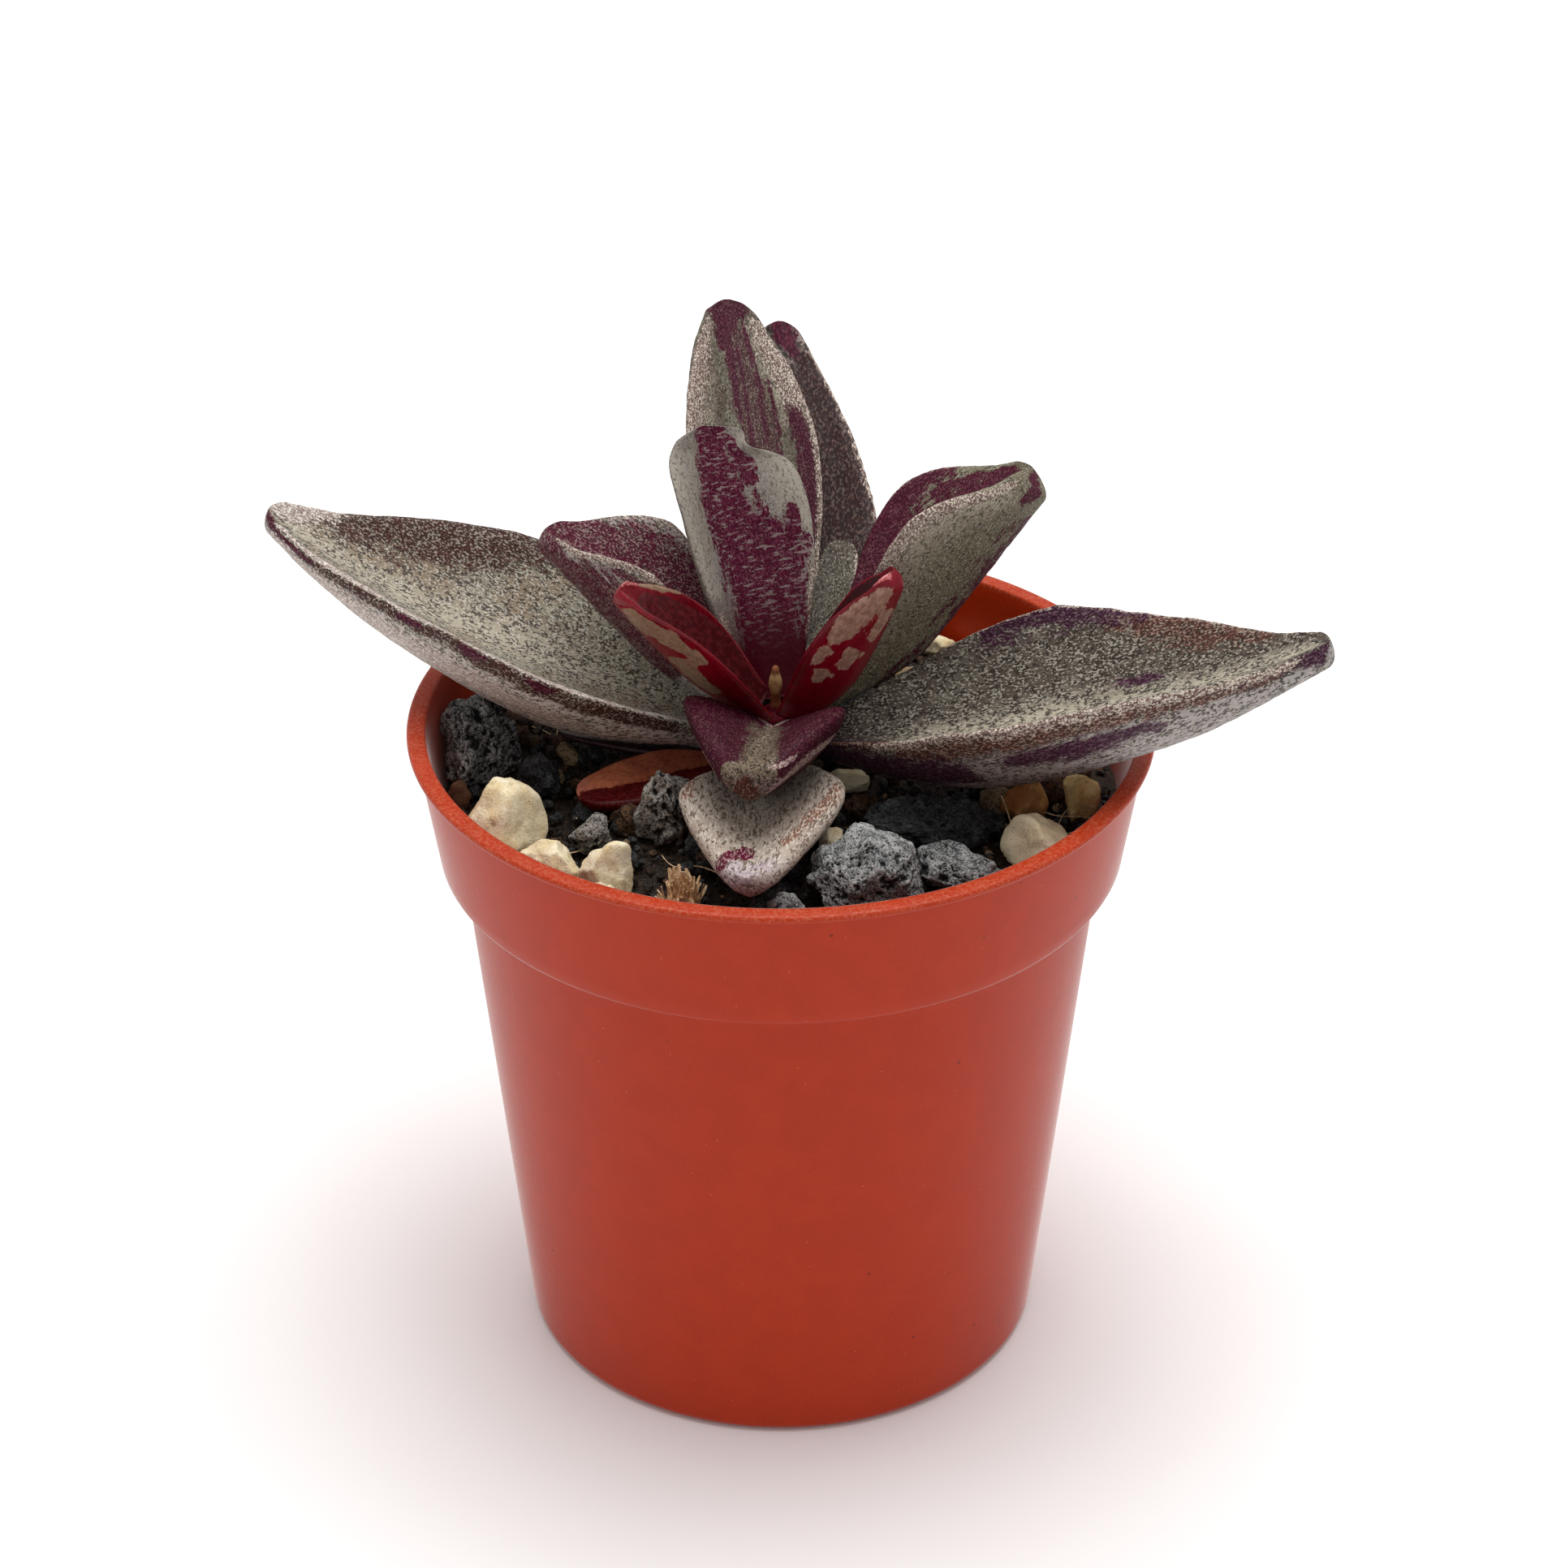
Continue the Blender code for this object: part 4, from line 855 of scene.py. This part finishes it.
def make_pot():
    """The turned wall, very slightly out of round, with its drain holes cut."""
    def wobble(turn, z):
        return 0.0006 * np.sin(3 * turn + 0.8) * z / POT_HEIGHT + 0.0003 * np.sin(7 * turn + 0.05 * z)

    points, faces = turned(pot_profile(), POT_SIDES, wobble=wobble)
    pot = add_piece("pot_shell", points, faces, pot_material(), "pot", "pot_plastic")
    radius, low, high = DRAIN_DIAMETER / 2, -1.0, POT_FLOOR + 1.0
    cutters = []
    for k in range(DRAIN_HOLES):
        turn = 2 * math.pi * (k + 0.5) / DRAIN_HOLES
        middle = (DRAIN_CIRCLE_RADIUS * math.cos(turn), DRAIN_CIRCLE_RADIUS * math.sin(turn))
        points, faces = turned([(0.0, low), (radius, low), (radius, high), (0.0, high)], 40, middle)
        mesh = bpy.data.meshes.new("drain")
        mesh.from_pydata([(MM * a, MM * b, MM * c) for a, b, c in points], [], faces)
        cutter = bpy.data.objects.new("drain", mesh)
        bpy.context.scene.collection.objects.link(cutter)
        cut = pot.modifiers.new("drain", "BOOLEAN")
        cut.operation = "DIFFERENCE"
        cut.solver = "EXACT"
        cut.object = cutter
        cutters.append(cutter)
    bpy.context.view_layer.update()
    graph = bpy.context.evaluated_depsgraph_get()
    done = bpy.data.meshes.new_from_object(pot.evaluated_get(graph))
    pot.modifiers.clear()
    pot.data = done
    done.set_sharp_from_angle(angle=math.radians(50))
    for cutter in cutters:
        bpy.data.objects.remove(cutter)


def soil_height(x, y):
    waves = np.sin(0.34 * x + 1.3) * np.cos(0.30 * y - 0.4) + 0.6 * np.sin(0.42 * x - 0.38 * y + 2.0)
    return SOIL_LEVEL + SOIL_RELIEF * waves / 1.6


def soil_material():
    """Moist potting mix: near-black crumbs, with a few grey and brown grains."""
    n = Nodes("gritty_soil")
    at = n.place()
    tone = n.field("tone")
    grains = n.noise(at, 3.2, 5.0, 0.7)
    pores = n.step(n.cells(at, 3.6), 0.15, 0.45)
    grey = n.coats((24, 24, 25), ((78, 78, 78), grains, 0.40, 0.62))
    brown = n.coats((44, 27, 18), ((104, 74, 50), grains, 0.40, 0.62))
    colour = n.coats((14, 10, 8), ((66, 50, 38), grains, 0.42, 0.60),
                     ((54, 38, 26), n.noise(at, 1.3, 4.0, 0.65), 0.50, 0.60, 0.0, 0.7),
                     (grey, tone, 0.50, 0.54), (brown, tone, 0.86, 0.88), ((150, 126, 96), tone, 0.965, 0.975))
    # Painted shade: small pores in the grey and brown grains are painted near-black.
    pore_shade = n.times(n.step(pores, 0.1, 0.6, 0.8, 0.0), n.step(tone, 0.5, 0.62))
    colour = n.mix(pore_shade, colour, (8, 8, 8))
    normal = n.bump(n.times(pores, 0.5, grains), 0.12, 0.9)
    return n.finish(colour, n.step(grains, 0.3, 0.7, 0.6, 0.95), normal, Specular_IOR_Level=0.3)


def stone_share(x, y):
    """How far a point of the soil is from the nearest stone, in that stone's own radii."""
    return min(math.hypot((x - stone[0]) / (stone[2] / 2), (y - stone[1]) / (stone[3] / 2))
               for stone in (*LAVA.values(), *PEBBLES.values()))


def unit_ball(fineness):
    """Corners and faces of a ball of radius 1."""
    build = bmesh.new()
    bmesh.ops.create_icosphere(build, subdivisions=fineness, radius=1.0)
    corners = [v.co.copy() for v in build.verts]
    faces = [tuple(v.index for v in f.verts) for f in build.faces]
    build.free()
    return corners, faces


def granule(random, x, y, z, size, fineness):
    """A small broken grain."""
    ball, faces = unit_ball(fineness)
    stretch = random.uniform(0.6, 1.0, 3)
    offset = Vector(random.uniform(-50, 50, 3))
    spin = Matrix.Rotation(random.uniform(0, 6.28), 3, Vector(random.normal(size=3)).normalized())
    points = []
    for corner in ball:
        swell = 1.0 + 0.40 * noise.noise(corner * 1.3 + offset)
        if fineness > 1:
            swell += 0.22 * noise.noise(corner * 3.1 + offset) + 0.10 * noise.noise(corner * 7.0 + offset)
        points.append(spin @ Vector([corner[i] * stretch[i] * swell * size / 2 for i in range(3)])
                      + Vector((x, y, z)))
    return points, faces


def make_soil():
    """The plug with a rough top, and loose grains pressed into it."""
    ledge = BAND_BOTTOM + POT_WALL
    floor = POT_FLOOR + GAP
    edge = band_inner_radius(SOIL_LEVEL) - GAP - 0.1
    points, faces = turned([
        (0.0, floor), (body_inner_radius(floor + 1.0) - GAP - 1.2, floor),
        (body_inner_radius(floor + 1.0) - GAP, floor + 1.0), (body_inner_radius(ledge - 0.6) - GAP, ledge - 0.6),
        (body_inner_radius(ledge) - GAP, ledge + GAP + 0.1),
        (band_inner_radius(ledge + 1.2) - GAP - 0.1, ledge + 1.2)], SOIL_SIDES)
    turn = 2 * np.pi * np.arange(SOIL_SIDES) / SOIL_SIDES
    start = len(points) - SOIL_SIDES
    for i in range(SOIL_RINGS):
        radius = edge * (1.0 - i / SOIL_RINGS)
        spot = np.stack([radius * np.cos(turn), radius * np.sin(turn), 0 * turn], -1)
        lumps = 0.65 * smooth_noise(spot, 0.9, 71, 3) - 0.35
        spot[:, 2] = soil_height(spot[:, 0], spot[:, 1]) + lumps
        points += [tuple(p) for p in spot]
    faces += rings_to_faces(SOIL_RINGS + 1, SOIL_SIDES, start)
    last = len(points) - SOIL_SIDES
    points.append((0.0, 0.0, SOIL_LEVEL - 0.1))
    faces += [(last + k, len(points) - 1, last + (k + 1) % SOIL_SIDES) for k in range(SOIL_SIDES)]
    parts = [(points, faces)]
    tones = [0.2]
    random = np.random.default_rng(41)
    for count, low, high, fineness, room in GRAINS:
        placed = 0
        while placed < count:
            radius = (edge - 0.5 * high - 0.2) * math.sqrt(random.uniform())
            angle = random.uniform(0, 2 * math.pi)
            x, y = radius * math.cos(angle), radius * math.sin(angle)
            size = float(random.uniform(low, high))
            if math.hypot(x - STEM_X, y - STEM_Y) < GRAIN_FREE or stone_share(x, y) < room:
                continue
            if fineness > 1 and math.hypot(x - TUFT_X, y - TUFT_Y) < GRAIN_FREE:
                continue
            placed += 1
            parts.append(granule(random, x, y, soil_height(x, y) + 0.24 * size, size, fineness))
            tones.append(float(random.uniform(0.45, 1.0) if fineness > 1 else random.uniform()))
    field = np.concatenate([np.full(len(part[0]), tone) for part, tone in zip(parts, tones)])
    add_piece("soil_grit", *join(parts), soil_material(), "soil", "soil", {"tone": field}, 38)


def stem_material():
    """Crimson round the leaf feet, then a brown stalk and the tan growing tip."""
    n = Nodes("stem_skin")
    at = n.place()
    patchy = n.noise(at, 2.4, 4.0, 0.6)
    height = n.height(at)
    base, stalk, knob = (n.coats(dark, (light, patchy, 0.35, 0.65)) for dark, light in (
        ((62, 0, 12), (80, 2, 18)), ((104, 52, 34), (132, 80, 50)), ((158, 122, 80), (182, 148, 102))))
    colour = n.coats(base, (stalk, height, STEM_TOP + 0.3, STEM_TOP + 0.9),
                     (knob, height, STEM_TOP + 1.4, STEM_TOP + 2.0),
                     ((132, 84, 54), height, TIP_HEIGHT - 0.75, TIP_HEIGHT - 0.35))
    normal = n.bump(n.noise(at, 8.0, 3.0), 0.04, 0.7)
    return n.finish(colour, n.step(patchy, 0.3, 0.7, 0.55, 0.75), normal, Specular_IOR_Level=0.08)


def make_stem():
    """The stem, and on its rounded top the jointed bud; radii of the bud go with heights above the top."""
    profile = [(0.0, STEM_FOOT), (STEM_RADIUS - 0.3, STEM_FOOT), (STEM_RADIUS, STEM_FOOT + 0.4)]
    profile += between(profile[-1], (STEM_RADIUS, STEM_TOP - 0.5), 12)
    profile += [(STEM_RADIUS, STEM_TOP - 0.5), (STEM_RADIUS - 0.08, STEM_TOP - 0.2), (STEM_RADIUS - 0.3, STEM_TOP)]
    profile += [(radius, STEM_TOP + above) for radius, above in (
        (0.70, 0.15), (0.46, 0.35), (0.38, 0.8), (0.36, 1.5), (0.40, 1.8), (0.46, 2.0), (0.49, 2.25), (0.49, 2.5),
        (0.46, 2.75), (0.40, 2.95), (0.34, 3.1), (0.31, 3.2), (0.31, 3.3))]
    profile += [(0.29, TIP_HEIGHT - 0.3), (0.22, TIP_HEIGHT - 0.12), (0.11, TIP_HEIGHT - 0.02), (0.0, TIP_HEIGHT)]

    def wobble(turn, z):
        return 0.05 * np.sin(2 * turn + 1.7 * z) + 0.03 * np.sin(3 * turn - 2.3 * z)

    points, faces = turned(profile, 48, (STEM_X, STEM_Y), wobble)
    add_piece("stem_bud", points, faces, stem_material(), "stem", "stem")


# Stones: centre x, y, size along x, y, z, turn about z, seed of the CAD shape, and fineness of the mesh

LAVA = {
    "lava_left": (-22.2, 2.8, 5.4, 7.0, 5.0, 0, 3, 6),
    "lava_left_inner": (-17.9, -1.2, 3.2, 4.2, 2.4, 10, 5, 5),
    "lava_front": (5.9, -15.9, 8.0, 6.2, 5.2, 0, 7, 6),
    "lava_flat": (12.9, -14.4, 7.0, 4.4, 2.6, -20, 8, 5),
    "lava_dark": (11.2, -8.1, 10.0, 4.2, 2.6, 4, 9, 5),
    "lava_porous": (-8.6, -7.5, 4.0, 3.6, 5.3, 20, 11, 5),
    "lava_grey": (-13.6, -8.9, 3.2, 3.0, 2.3, 60, 12, 5),
    "lava_back_left": (-14.5, 15.0, 8.0, 6.0, 4.4, 30, 13, 5),
    "lava_back": (-3.0, 20.5, 6.6, 5.4, 1.9, 0, 14, 4),
    "lava_back_right": (17.6, 9.0, 7.0, 6.0, 4.2, -35, 15, 5),
    "lava_front_small": (0.4, -18.8, 2.8, 2.4, 2.0, 20, 16, 4),
}
PEBBLES = {
    "pebble_left": (-20.1, -8.7, 6.0, 5.0, 5.2, 20, 21, 5),
    "pebble_front_left": (-16.6, -13.0, 5.0, 3.4, 2.8, -30, 22, 5),
    "pebble_front": (-12.2, -14.9, 4.0, 3.4, 4.0, 10, 23, 5),
    "pebble_chip": (-12.6, -17.9, 2.4, 1.8, 2.4, 0, 24, 4),
    "pebble_brown": (-23.7, -2.6, 2.0, 1.8, 1.8, 30, 25, 4),
    "pebble_right": (18.3, -11.6, 5.4, 4.0, 4.2, -30, 26, 5),
    "pebble_orange": (17.9, -4.6, 3.2, 2.8, 3.2, 40, 27, 4),
    "pebble_yellow": (22.0, -4.2, 2.8, 2.8, 3.0, 10, 28, 4),
    "pebble_shaded": (4.9, -0.7, 3.4, 2.4, 1.4, 10, 29, 4),
    "pebble_middle": (3.6, -9.0, 2.4, 2.2, 1.4, 35, 33, 4),
    "pebble_back_right": (12.6, 19.8, 2.4, 2.2, 1.6, 35, 30, 4),
    "pebble_back_chip": (15.2, 18.9, 1.8, 1.6, 1.2, 0, 31, 4),
    "pebble_back_left": (-6.8, 14.2, 3.4, 2.8, 1.8, 15, 32, 4),
}
STONE_GROWTH = {"lava_left": (1.14, 1.12, 1.06), "pebble_left": (1.16, 1.16, 1.04)}
STONE_SHIFT = {"lava_left": (-0.12, 0.0, 0.0), "pebble_left": (-0.25, 0.0, 0.0), "pebble_front": (-0.3, 0.0, 0.0)}
STONE_PORES = {"lava_left": 0.8, "lava_porous": 0.4}
STONE_SUNK = 0.35
LAVA_GROWTH = 1.05
LAVA_ROUGHNESS = 0.22
PEBBLE_ROUGHNESS = 0.10
PORES = ((1.15, 0.50, 0.46, 1), (2.1, 0.28, 0.42, 2), (3.6, 0.12, 0.40, 3))


def stone_radius(directions, planes, seed, roughness):
    """The CAD stone's own shape at many directions."""
    near = np.full(len(directions), 1.25)
    for normal, distance in planes:
        facing = directions @ np.array(normal)
        near = np.where(facing > 0.05, np.minimum(near, distance / np.maximum(facing, 0.05)), near)
    shift = Vector((seed * 3.7, seed * 1.3, seed * 2.1))
    wobble = np.array([noise.noise(Vector(d) * 1.9 + shift) for d in directions])
    return near * (1.0 + roughness * wobble)


def make_stone(node, values, material, lava):
    """The CAD stone with a finer skin: lava has lumps and three sizes of pores, a pebble has chips."""
    x, y, size_x, size_y, size_z, turn, seed, fineness = values
    random = np.random.default_rng(seed)
    planes = []
    for _ in range(11):
        normal = Vector(random.normal(size=3)).normalized()
        planes.append((normal, float(random.uniform(0.72, 0.98))))
    corners, faces = unit_ball(fineness)
    ball = np.array([corner.normalized() for corner in corners])
    shape = ball * stone_radius(ball, planes, seed, LAVA_ROUGHNESS if lava else PEBBLE_ROUGHNESS)[:, None]
    low, high = shape.min(0), shape.max(0)
    tall = size_z * (1.0 + STONE_SUNK)
    size = np.array([size_x, size_y, tall])
    local = ((shape - low) / (high - low) - 0.5) * size
    outward = ball / size
    outward /= np.linalg.norm(outward, axis=1, keepdims=True)
    pits = np.zeros(len(local))
    rise = smooth_noise(local, 1.1, seed + 100, 3)
    local = local * STONE_GROWTH.get(node, LAVA_GROWTH if lava else 1.0)
    if lava:
        local = local + outward * (0.26 * rise)[:, None]
        warp = np.stack([smooth_noise(local, 1.7, seed + 400 + k) for k in range(3)], -1)
        still = local + 0.22 * warp
        for scale, deep, wide, number in PORES:
            hole = 1.0 - fade(wide * 0.55, wide, cell_distance(still, scale, seed * 7 + number))
            open_here = fade(-0.25, 0.10, smooth_noise(local, 0.6, seed + 200 + number) + STONE_PORES.get(node, 0.0))
            pits = np.maximum(pits, hole * open_here)
            local = local - outward * (min(deep, 0.12 * size_z) * hole * open_here)[:, None]
    else:
        chips = smooth_noise(local, 0.7, seed + 100, 3)
        local = local + outward * (0.20 * chips + 0.05 * smooth_noise(local, 2.6, seed + 120, 2) - 0.03)[:, None]
        bites = 1.0 - fade(0.08, 0.26, cell_distance(local, 0.75, seed * 5))
        pits = bites * fade(0.0, 0.3, smooth_noise(local, 0.3, seed + 300))
        local = local - outward * (0.10 * pits)[:, None]
    spin = np.array(Matrix.Rotation(math.radians(turn), 3, "Z"))
    place = local @ spin.T + (x, y, 0.0) + STONE_SHIFT.get(node, (0.0, 0.0, 0.0))
    seat = soil_height(place[:, 0], place[:, 1]) + GAP
    place[:, 2] += seat + tall / 2 - size_z * STONE_SUNK
    under = np.minimum(place[:, 2] - seat, 0.0)
    place[:, 2] = np.maximum(place[:, 2], seat - 0.25) + 0.02 * under
    slot, sharp = ("lava", None) if lava else ("pebble", 50)
    add_piece(node + "_rock", place, faces, material, node, slot,
              {"pits": pits, "rise": rise, "stone_at": local + (0.0, 0.0, 13.0 * seed)}, sharp)


def lava_material(name, dark, light, warm, top):
    n = Nodes(name)
    at = n.field("stone_at", vector=True)
    body = n.noise(at, 1.3, 5.0, 0.7)
    grit = n.noise(at, 6.5, 3.0, 0.65)
    pores = n.cells(at, 3.4)
    # Painted light: raised lumps are lightened towards top, a painted highlight on the ridges, and the same colour
    # gives the grit pale flecks; the pits and the small pores are painted near-black, painted shade in them.
    colour = n.coats(dark, (light, body, 0.40, 0.60), (warm, n.noise(at, 0.5, 3.0), 0.50, 0.66, 0.0, 0.6),
                     (top, n.field("rise"), 0.0, 0.4, 0.0, 0.6), (top, grit, 0.52, 0.62, 0.0, 0.7),
                     ((18, 18, 18), grit, 0.35, 0.46, 0.85, 0.0), ((8, 8, 9), n.field("pits"), 0.30, 0.85, 0.0, 0.95),
                     ((10, 10, 10), pores, 0.15, 0.25, 0.9, 0.0))
    normal = n.bump(n.times(n.step(pores, 0.15, 0.4), 0.8, grit), 0.16, 0.9)
    return n.finish(colour, n.step(grit, 0.3, 0.7, 0.6, 0.95), normal, Specular_IOR_Level=0.35)


def pebble_material(name, pale, deep, stain, share):
    """A matt stone with stains over a share of it."""
    n = Nodes(name)
    at = n.field("stone_at", vector=True)
    grain = n.noise(at, 5.0, 4.0, 0.7)
    colour = n.coats(pale, (deep, n.noise(at, 0.45, 4.0, 0.6), 0.38, 0.64),
                     (stain, n.noise(at, 0.8, 5.0, 0.7), 0.52 - 0.2 * share, 0.68 - 0.2 * share, 0.0, share),
                     ((96, 78, 54), grain, 0.32, 0.45, 0.5, 0.0),
                     ((110, 88, 60), n.field("pits"), 0.2, 0.9, 0.0, 0.35))
    return n.finish(colour, n.step(grain, 0.3, 0.7, 0.65, 0.9), n.bump(grain, 0.11, 0.9), Specular_IOR_Level=0.3)


# Tuft and fibres

def tuft_material():
    n = Nodes("dry_fibre")
    at = n.place()
    streak = n.noise(n.stretched(at, (1.0, 1.0, 0.25)), 5.0, 3.0, 0.6)
    colour = n.coats((168, 128, 90), ((240, 212, 172), streak, 0.38, 0.58),
                     ((198, 152, 106), n.noise(at, 1.2), 0.5, 0.66, 0.0, 0.6))
    return n.finish(colour, n.step(streak, 0.3, 0.7, 0.6, 0.85), n.bump(streak, 0.05, 0.8), Specular_IOR_Level=0.3)


def make_tuft():
    """A cup of withered blades, each a thin strip that leans out and curls."""
    spots = (-1.2, 0.0, 1.2)
    seat = float(max(soil_height(TUFT_X + dx, TUFT_Y + dy) for dx in spots for dy in spots)) + 0.2
    random = np.random.default_rng(77)

    def ribs(turn, z):
        return 0.12 * np.sin(9 * turn + z) + 0.05 * np.sin(23 * turn)

    core = [(0.0, seat - 0.2), (0.75, seat - 0.2), (0.95, seat + 0.3), (1.0, seat + 0.9), (0.75, seat + 1.2),
            (0.4, seat + 0.9), (0.0, seat + 0.8)]
    parts = [turned(core, 72, (TUFT_X, TUFT_Y), ribs)]
    for k in range(TUFT_BLADES):
        turn = 2 * math.pi * (k * 0.382 + random.uniform(-0.03, 0.03))
        root = random.uniform(0.15, 0.85)
        lean = random.uniform(0.15, 0.85) * (0.3 + root)
        tall = random.uniform(1.5, TUFT_HEIGHT - 0.5) * (1.15 - 0.40 * root)
        curl = random.uniform(-0.8, 1.0)
        wide = random.uniform(0.18, 0.42)
        steps = np.linspace(0.0, 1.0, 9)
        radial = TUFT_RADIUS * root + lean * steps ** 1.5 + 0.25 * curl * np.sin(np.pi * steps) * steps
        swing = turn + 0.35 * curl * steps ** 2
        path = np.stack([TUFT_X + radial * np.cos(swing), TUFT_Y + radial * np.sin(swing),
                         seat + tall * (steps - 0.12 * curl * steps ** 3)], -1)
        ahead = np.gradient(path, axis=0)
        ahead /= np.linalg.norm(ahead, axis=1, keepdims=True)
        flat = np.stack([-np.sin(swing), np.cos(swing), 0 * swing], -1)
        normal = np.cross(ahead, flat)
        points = []
        for i, s in enumerate(steps):
            half = wide * (1.0 - 0.75 * s ** 2) + 0.03
            thin = 0.05 * (1.0 - 0.5 * s)
            ridge = 0.35 * half
            for a, b in ((-half, ridge), (0.0, -thin), (half, ridge), (0.0, thin + 0.02)):
                points.append(path[i] + flat[i] * a + normal[i] * b)
        last = (len(steps) - 1) * 4
        parts.append((points, rings_to_faces(len(steps), 4) + [(0, 1, 2, 3), (last + 3, last + 2, last + 1, last)]))
    add_piece("tuft_blades", *join(parts), tuft_material(), "dried_tuft", "dry_leaf", sharp=40)


def fibre(start, end, sag, radius, random):
    """A thin root or straw that lies on the soil; heights are above the soil."""
    steps = np.linspace(0.0, 1.0, 14)
    path = np.outer(1 - steps, start) + np.outer(steps, end)
    swing = random.uniform(-1, 1, 2)
    path[:, 0] += sag * swing[0] * np.sin(np.pi * steps)
    path[:, 1] += sag * swing[1] * np.sin(2 * np.pi * steps)
    path[:, 2] += soil_height(path[:, 0], path[:, 1])
    return tube(path, radius * (1.0 - 0.5 * steps))


def make_fibres():
    """The straws that the photo shows, and loose ones between the stones."""
    random = np.random.default_rng(5)
    parts = [fibre(*values, random) for values in (
        ((16.1, -4.5, 1.9), (16.9, -9.2, 0.9), 0.2, 0.07), ((19.0, -5.0, 0.9), (23.4, -7.0, 0.9), 0.6, 0.05),
        ((20.0, -8.4, 0.8), (21.4, -4.8, 1.3), 0.4, 0.05), ((19.2, -7.4, 0.8), (23.0, -8.6, 0.7), 0.5, 0.06),
        ((-4.0, -14.0, 0.8), (-8.6, -11.4, 0.8), 0.6, 0.06), ((-15.0, -5.6, 0.7), (-11.4, -4.4, 0.8), 0.4, 0.06))]
    for _ in range(LOOSE_FIBRES):
        angle = random.uniform(0, 2 * math.pi)
        radius = random.uniform(6.0, 21.0)
        x, y = radius * math.cos(angle), radius * math.sin(angle)
        heading = random.uniform(0, 2 * math.pi)
        reach = random.uniform(1.5, 4.0)
        end = (x + reach * math.cos(heading), y + reach * math.sin(heading))
        if math.hypot(*end) <= 23.0:
            parts.append(fibre((x, y, 0.45), (*end, 0.45), 0.5, random.uniform(0.04, 0.08), random))
    add_piece("soil_fibres", *join(parts), tuft_material(), None, "dry_leaf")


# Stage, light and camera

def stage():
    """A plain white table."""
    n = Nodes("white_table")
    colour = n.coats((250, 250, 250), ((251, 251, 251), n.noise(n.place(), 0.01), 0.3, 0.7))
    mesh = bpy.data.meshes.new("table")
    corners = [(-TABLE_HALF, -TABLE_HALF, 0.0), (TABLE_HALF, -TABLE_HALF, 0.0), (TABLE_HALF, TABLE_HALF, 0.0),
               (-TABLE_HALF, TABLE_HALF, 0.0)]
    mesh.from_pydata(corners, [], [(0, 1, 2, 3)])
    mesh.materials.append(n.finish(colour, 0.85, Specular_IOR_Level=0.1))
    floor = bpy.data.objects.new("table", mesh)
    bpy.context.scene.collection.objects.link(floor)


def add_light():
    """A white room and one large soft lamp above, a little behind the plant."""
    world = bpy.data.worlds.new("studio")
    world.use_nodes = True
    back = world.node_tree.nodes["Background"]
    back.inputs[0].default_value = WORLD_TINT
    back.inputs[1].default_value = WORLD_LIGHT
    bpy.context.scene.world = world
    data = bpy.data.lights.new("key", "AREA")
    data.shape = "SQUARE"
    data.size = KEY_SIZE
    data.energy = KEY_POWER
    lamp = bpy.data.objects.new("key", data)
    lamp.location = KEY_PLACE
    lamp.rotation_euler = (Vector(KEY_AIM) - Vector(KEY_PLACE)).to_track_quat("-Z", "Y").to_euler()
    bpy.context.scene.collection.objects.link(lamp)


def add_camera():
    """The camera that was fitted to the photo, at the front and above."""
    scene = bpy.context.scene
    scene.view_settings.view_transform = "Standard"
    data = bpy.data.cameras.new("camera")
    data.lens = CAMERA_LENS
    data.sensor_width = SENSOR_WIDTH
    data.clip_start = 0.01
    camera = bpy.data.objects.new("camera", data)
    aim = Vector(CAMERA_AIM) * MM
    tilt = math.radians(CAMERA_TILT)
    camera.location = aim + Vector((0.0, -math.cos(tilt), math.sin(tilt))) * CAMERA_DISTANCE * MM
    look = (aim - camera.location).to_track_quat("-Z", "Y").to_matrix()
    camera.rotation_euler = (look @ Matrix.Rotation(math.radians(CAMERA_ROLL), 3, "Z")).to_euler()
    scene.collection.objects.link(camera)
    scene.camera = camera


def main():
    add_light()
    add_camera()
    stage()
    make_pot()
    make_soil()
    make_stem()
    for node, values in LEAVES.items():
        make_leaf(node, {**LEAF_DEFAULTS, **values}, LOOKS[node])
    grey = lava_material("lava_grey_look", (86, 86, 87), (134, 134, 134), (106, 105, 104), (196, 196, 193))
    dark = lava_material("lava_dark_look", (18, 18, 19), (44, 44, 46), (34, 33, 33), (86, 87, 88))
    tan = lava_material("lava_tan_look", (98, 93, 88), (144, 137, 130), (122, 108, 94), (182, 176, 168))
    lava_looks = {"lava_dark": dark, "lava_left_inner": dark, "lava_porous": tan, "lava_grey": tan}
    for node, values in LAVA.items():
        make_stone(node, values, lava_looks.get(node, grey), True)
    ivory = pebble_material("ivory_stone", (252, 240, 208), (236, 216, 172), (220, 184, 120), 0.3)
    ochre = pebble_material("ochre_stone", (238, 214, 158), (224, 188, 120), (188, 128, 66), 0.45)
    orange = pebble_material("orange_stone", (212, 160, 98), (184, 120, 62), (138, 80, 42), 0.6)
    olive = pebble_material("olive_stone", (250, 234, 200), (236, 216, 178), (198, 172, 132), 0.3)
    brown = pebble_material("brown_stone", (122, 84, 58), (96, 62, 42), (62, 40, 30), 0.5)
    pebble_looks = {"pebble_orange": orange, "pebble_yellow": ochre, "pebble_right": olive, "pebble_brown": brown,
                    "pebble_middle": olive}
    for node, values in PEBBLES.items():
        make_stone(node, values, pebble_looks.get(node, ivory), False)
    make_tuft()
    make_fibres()


main()
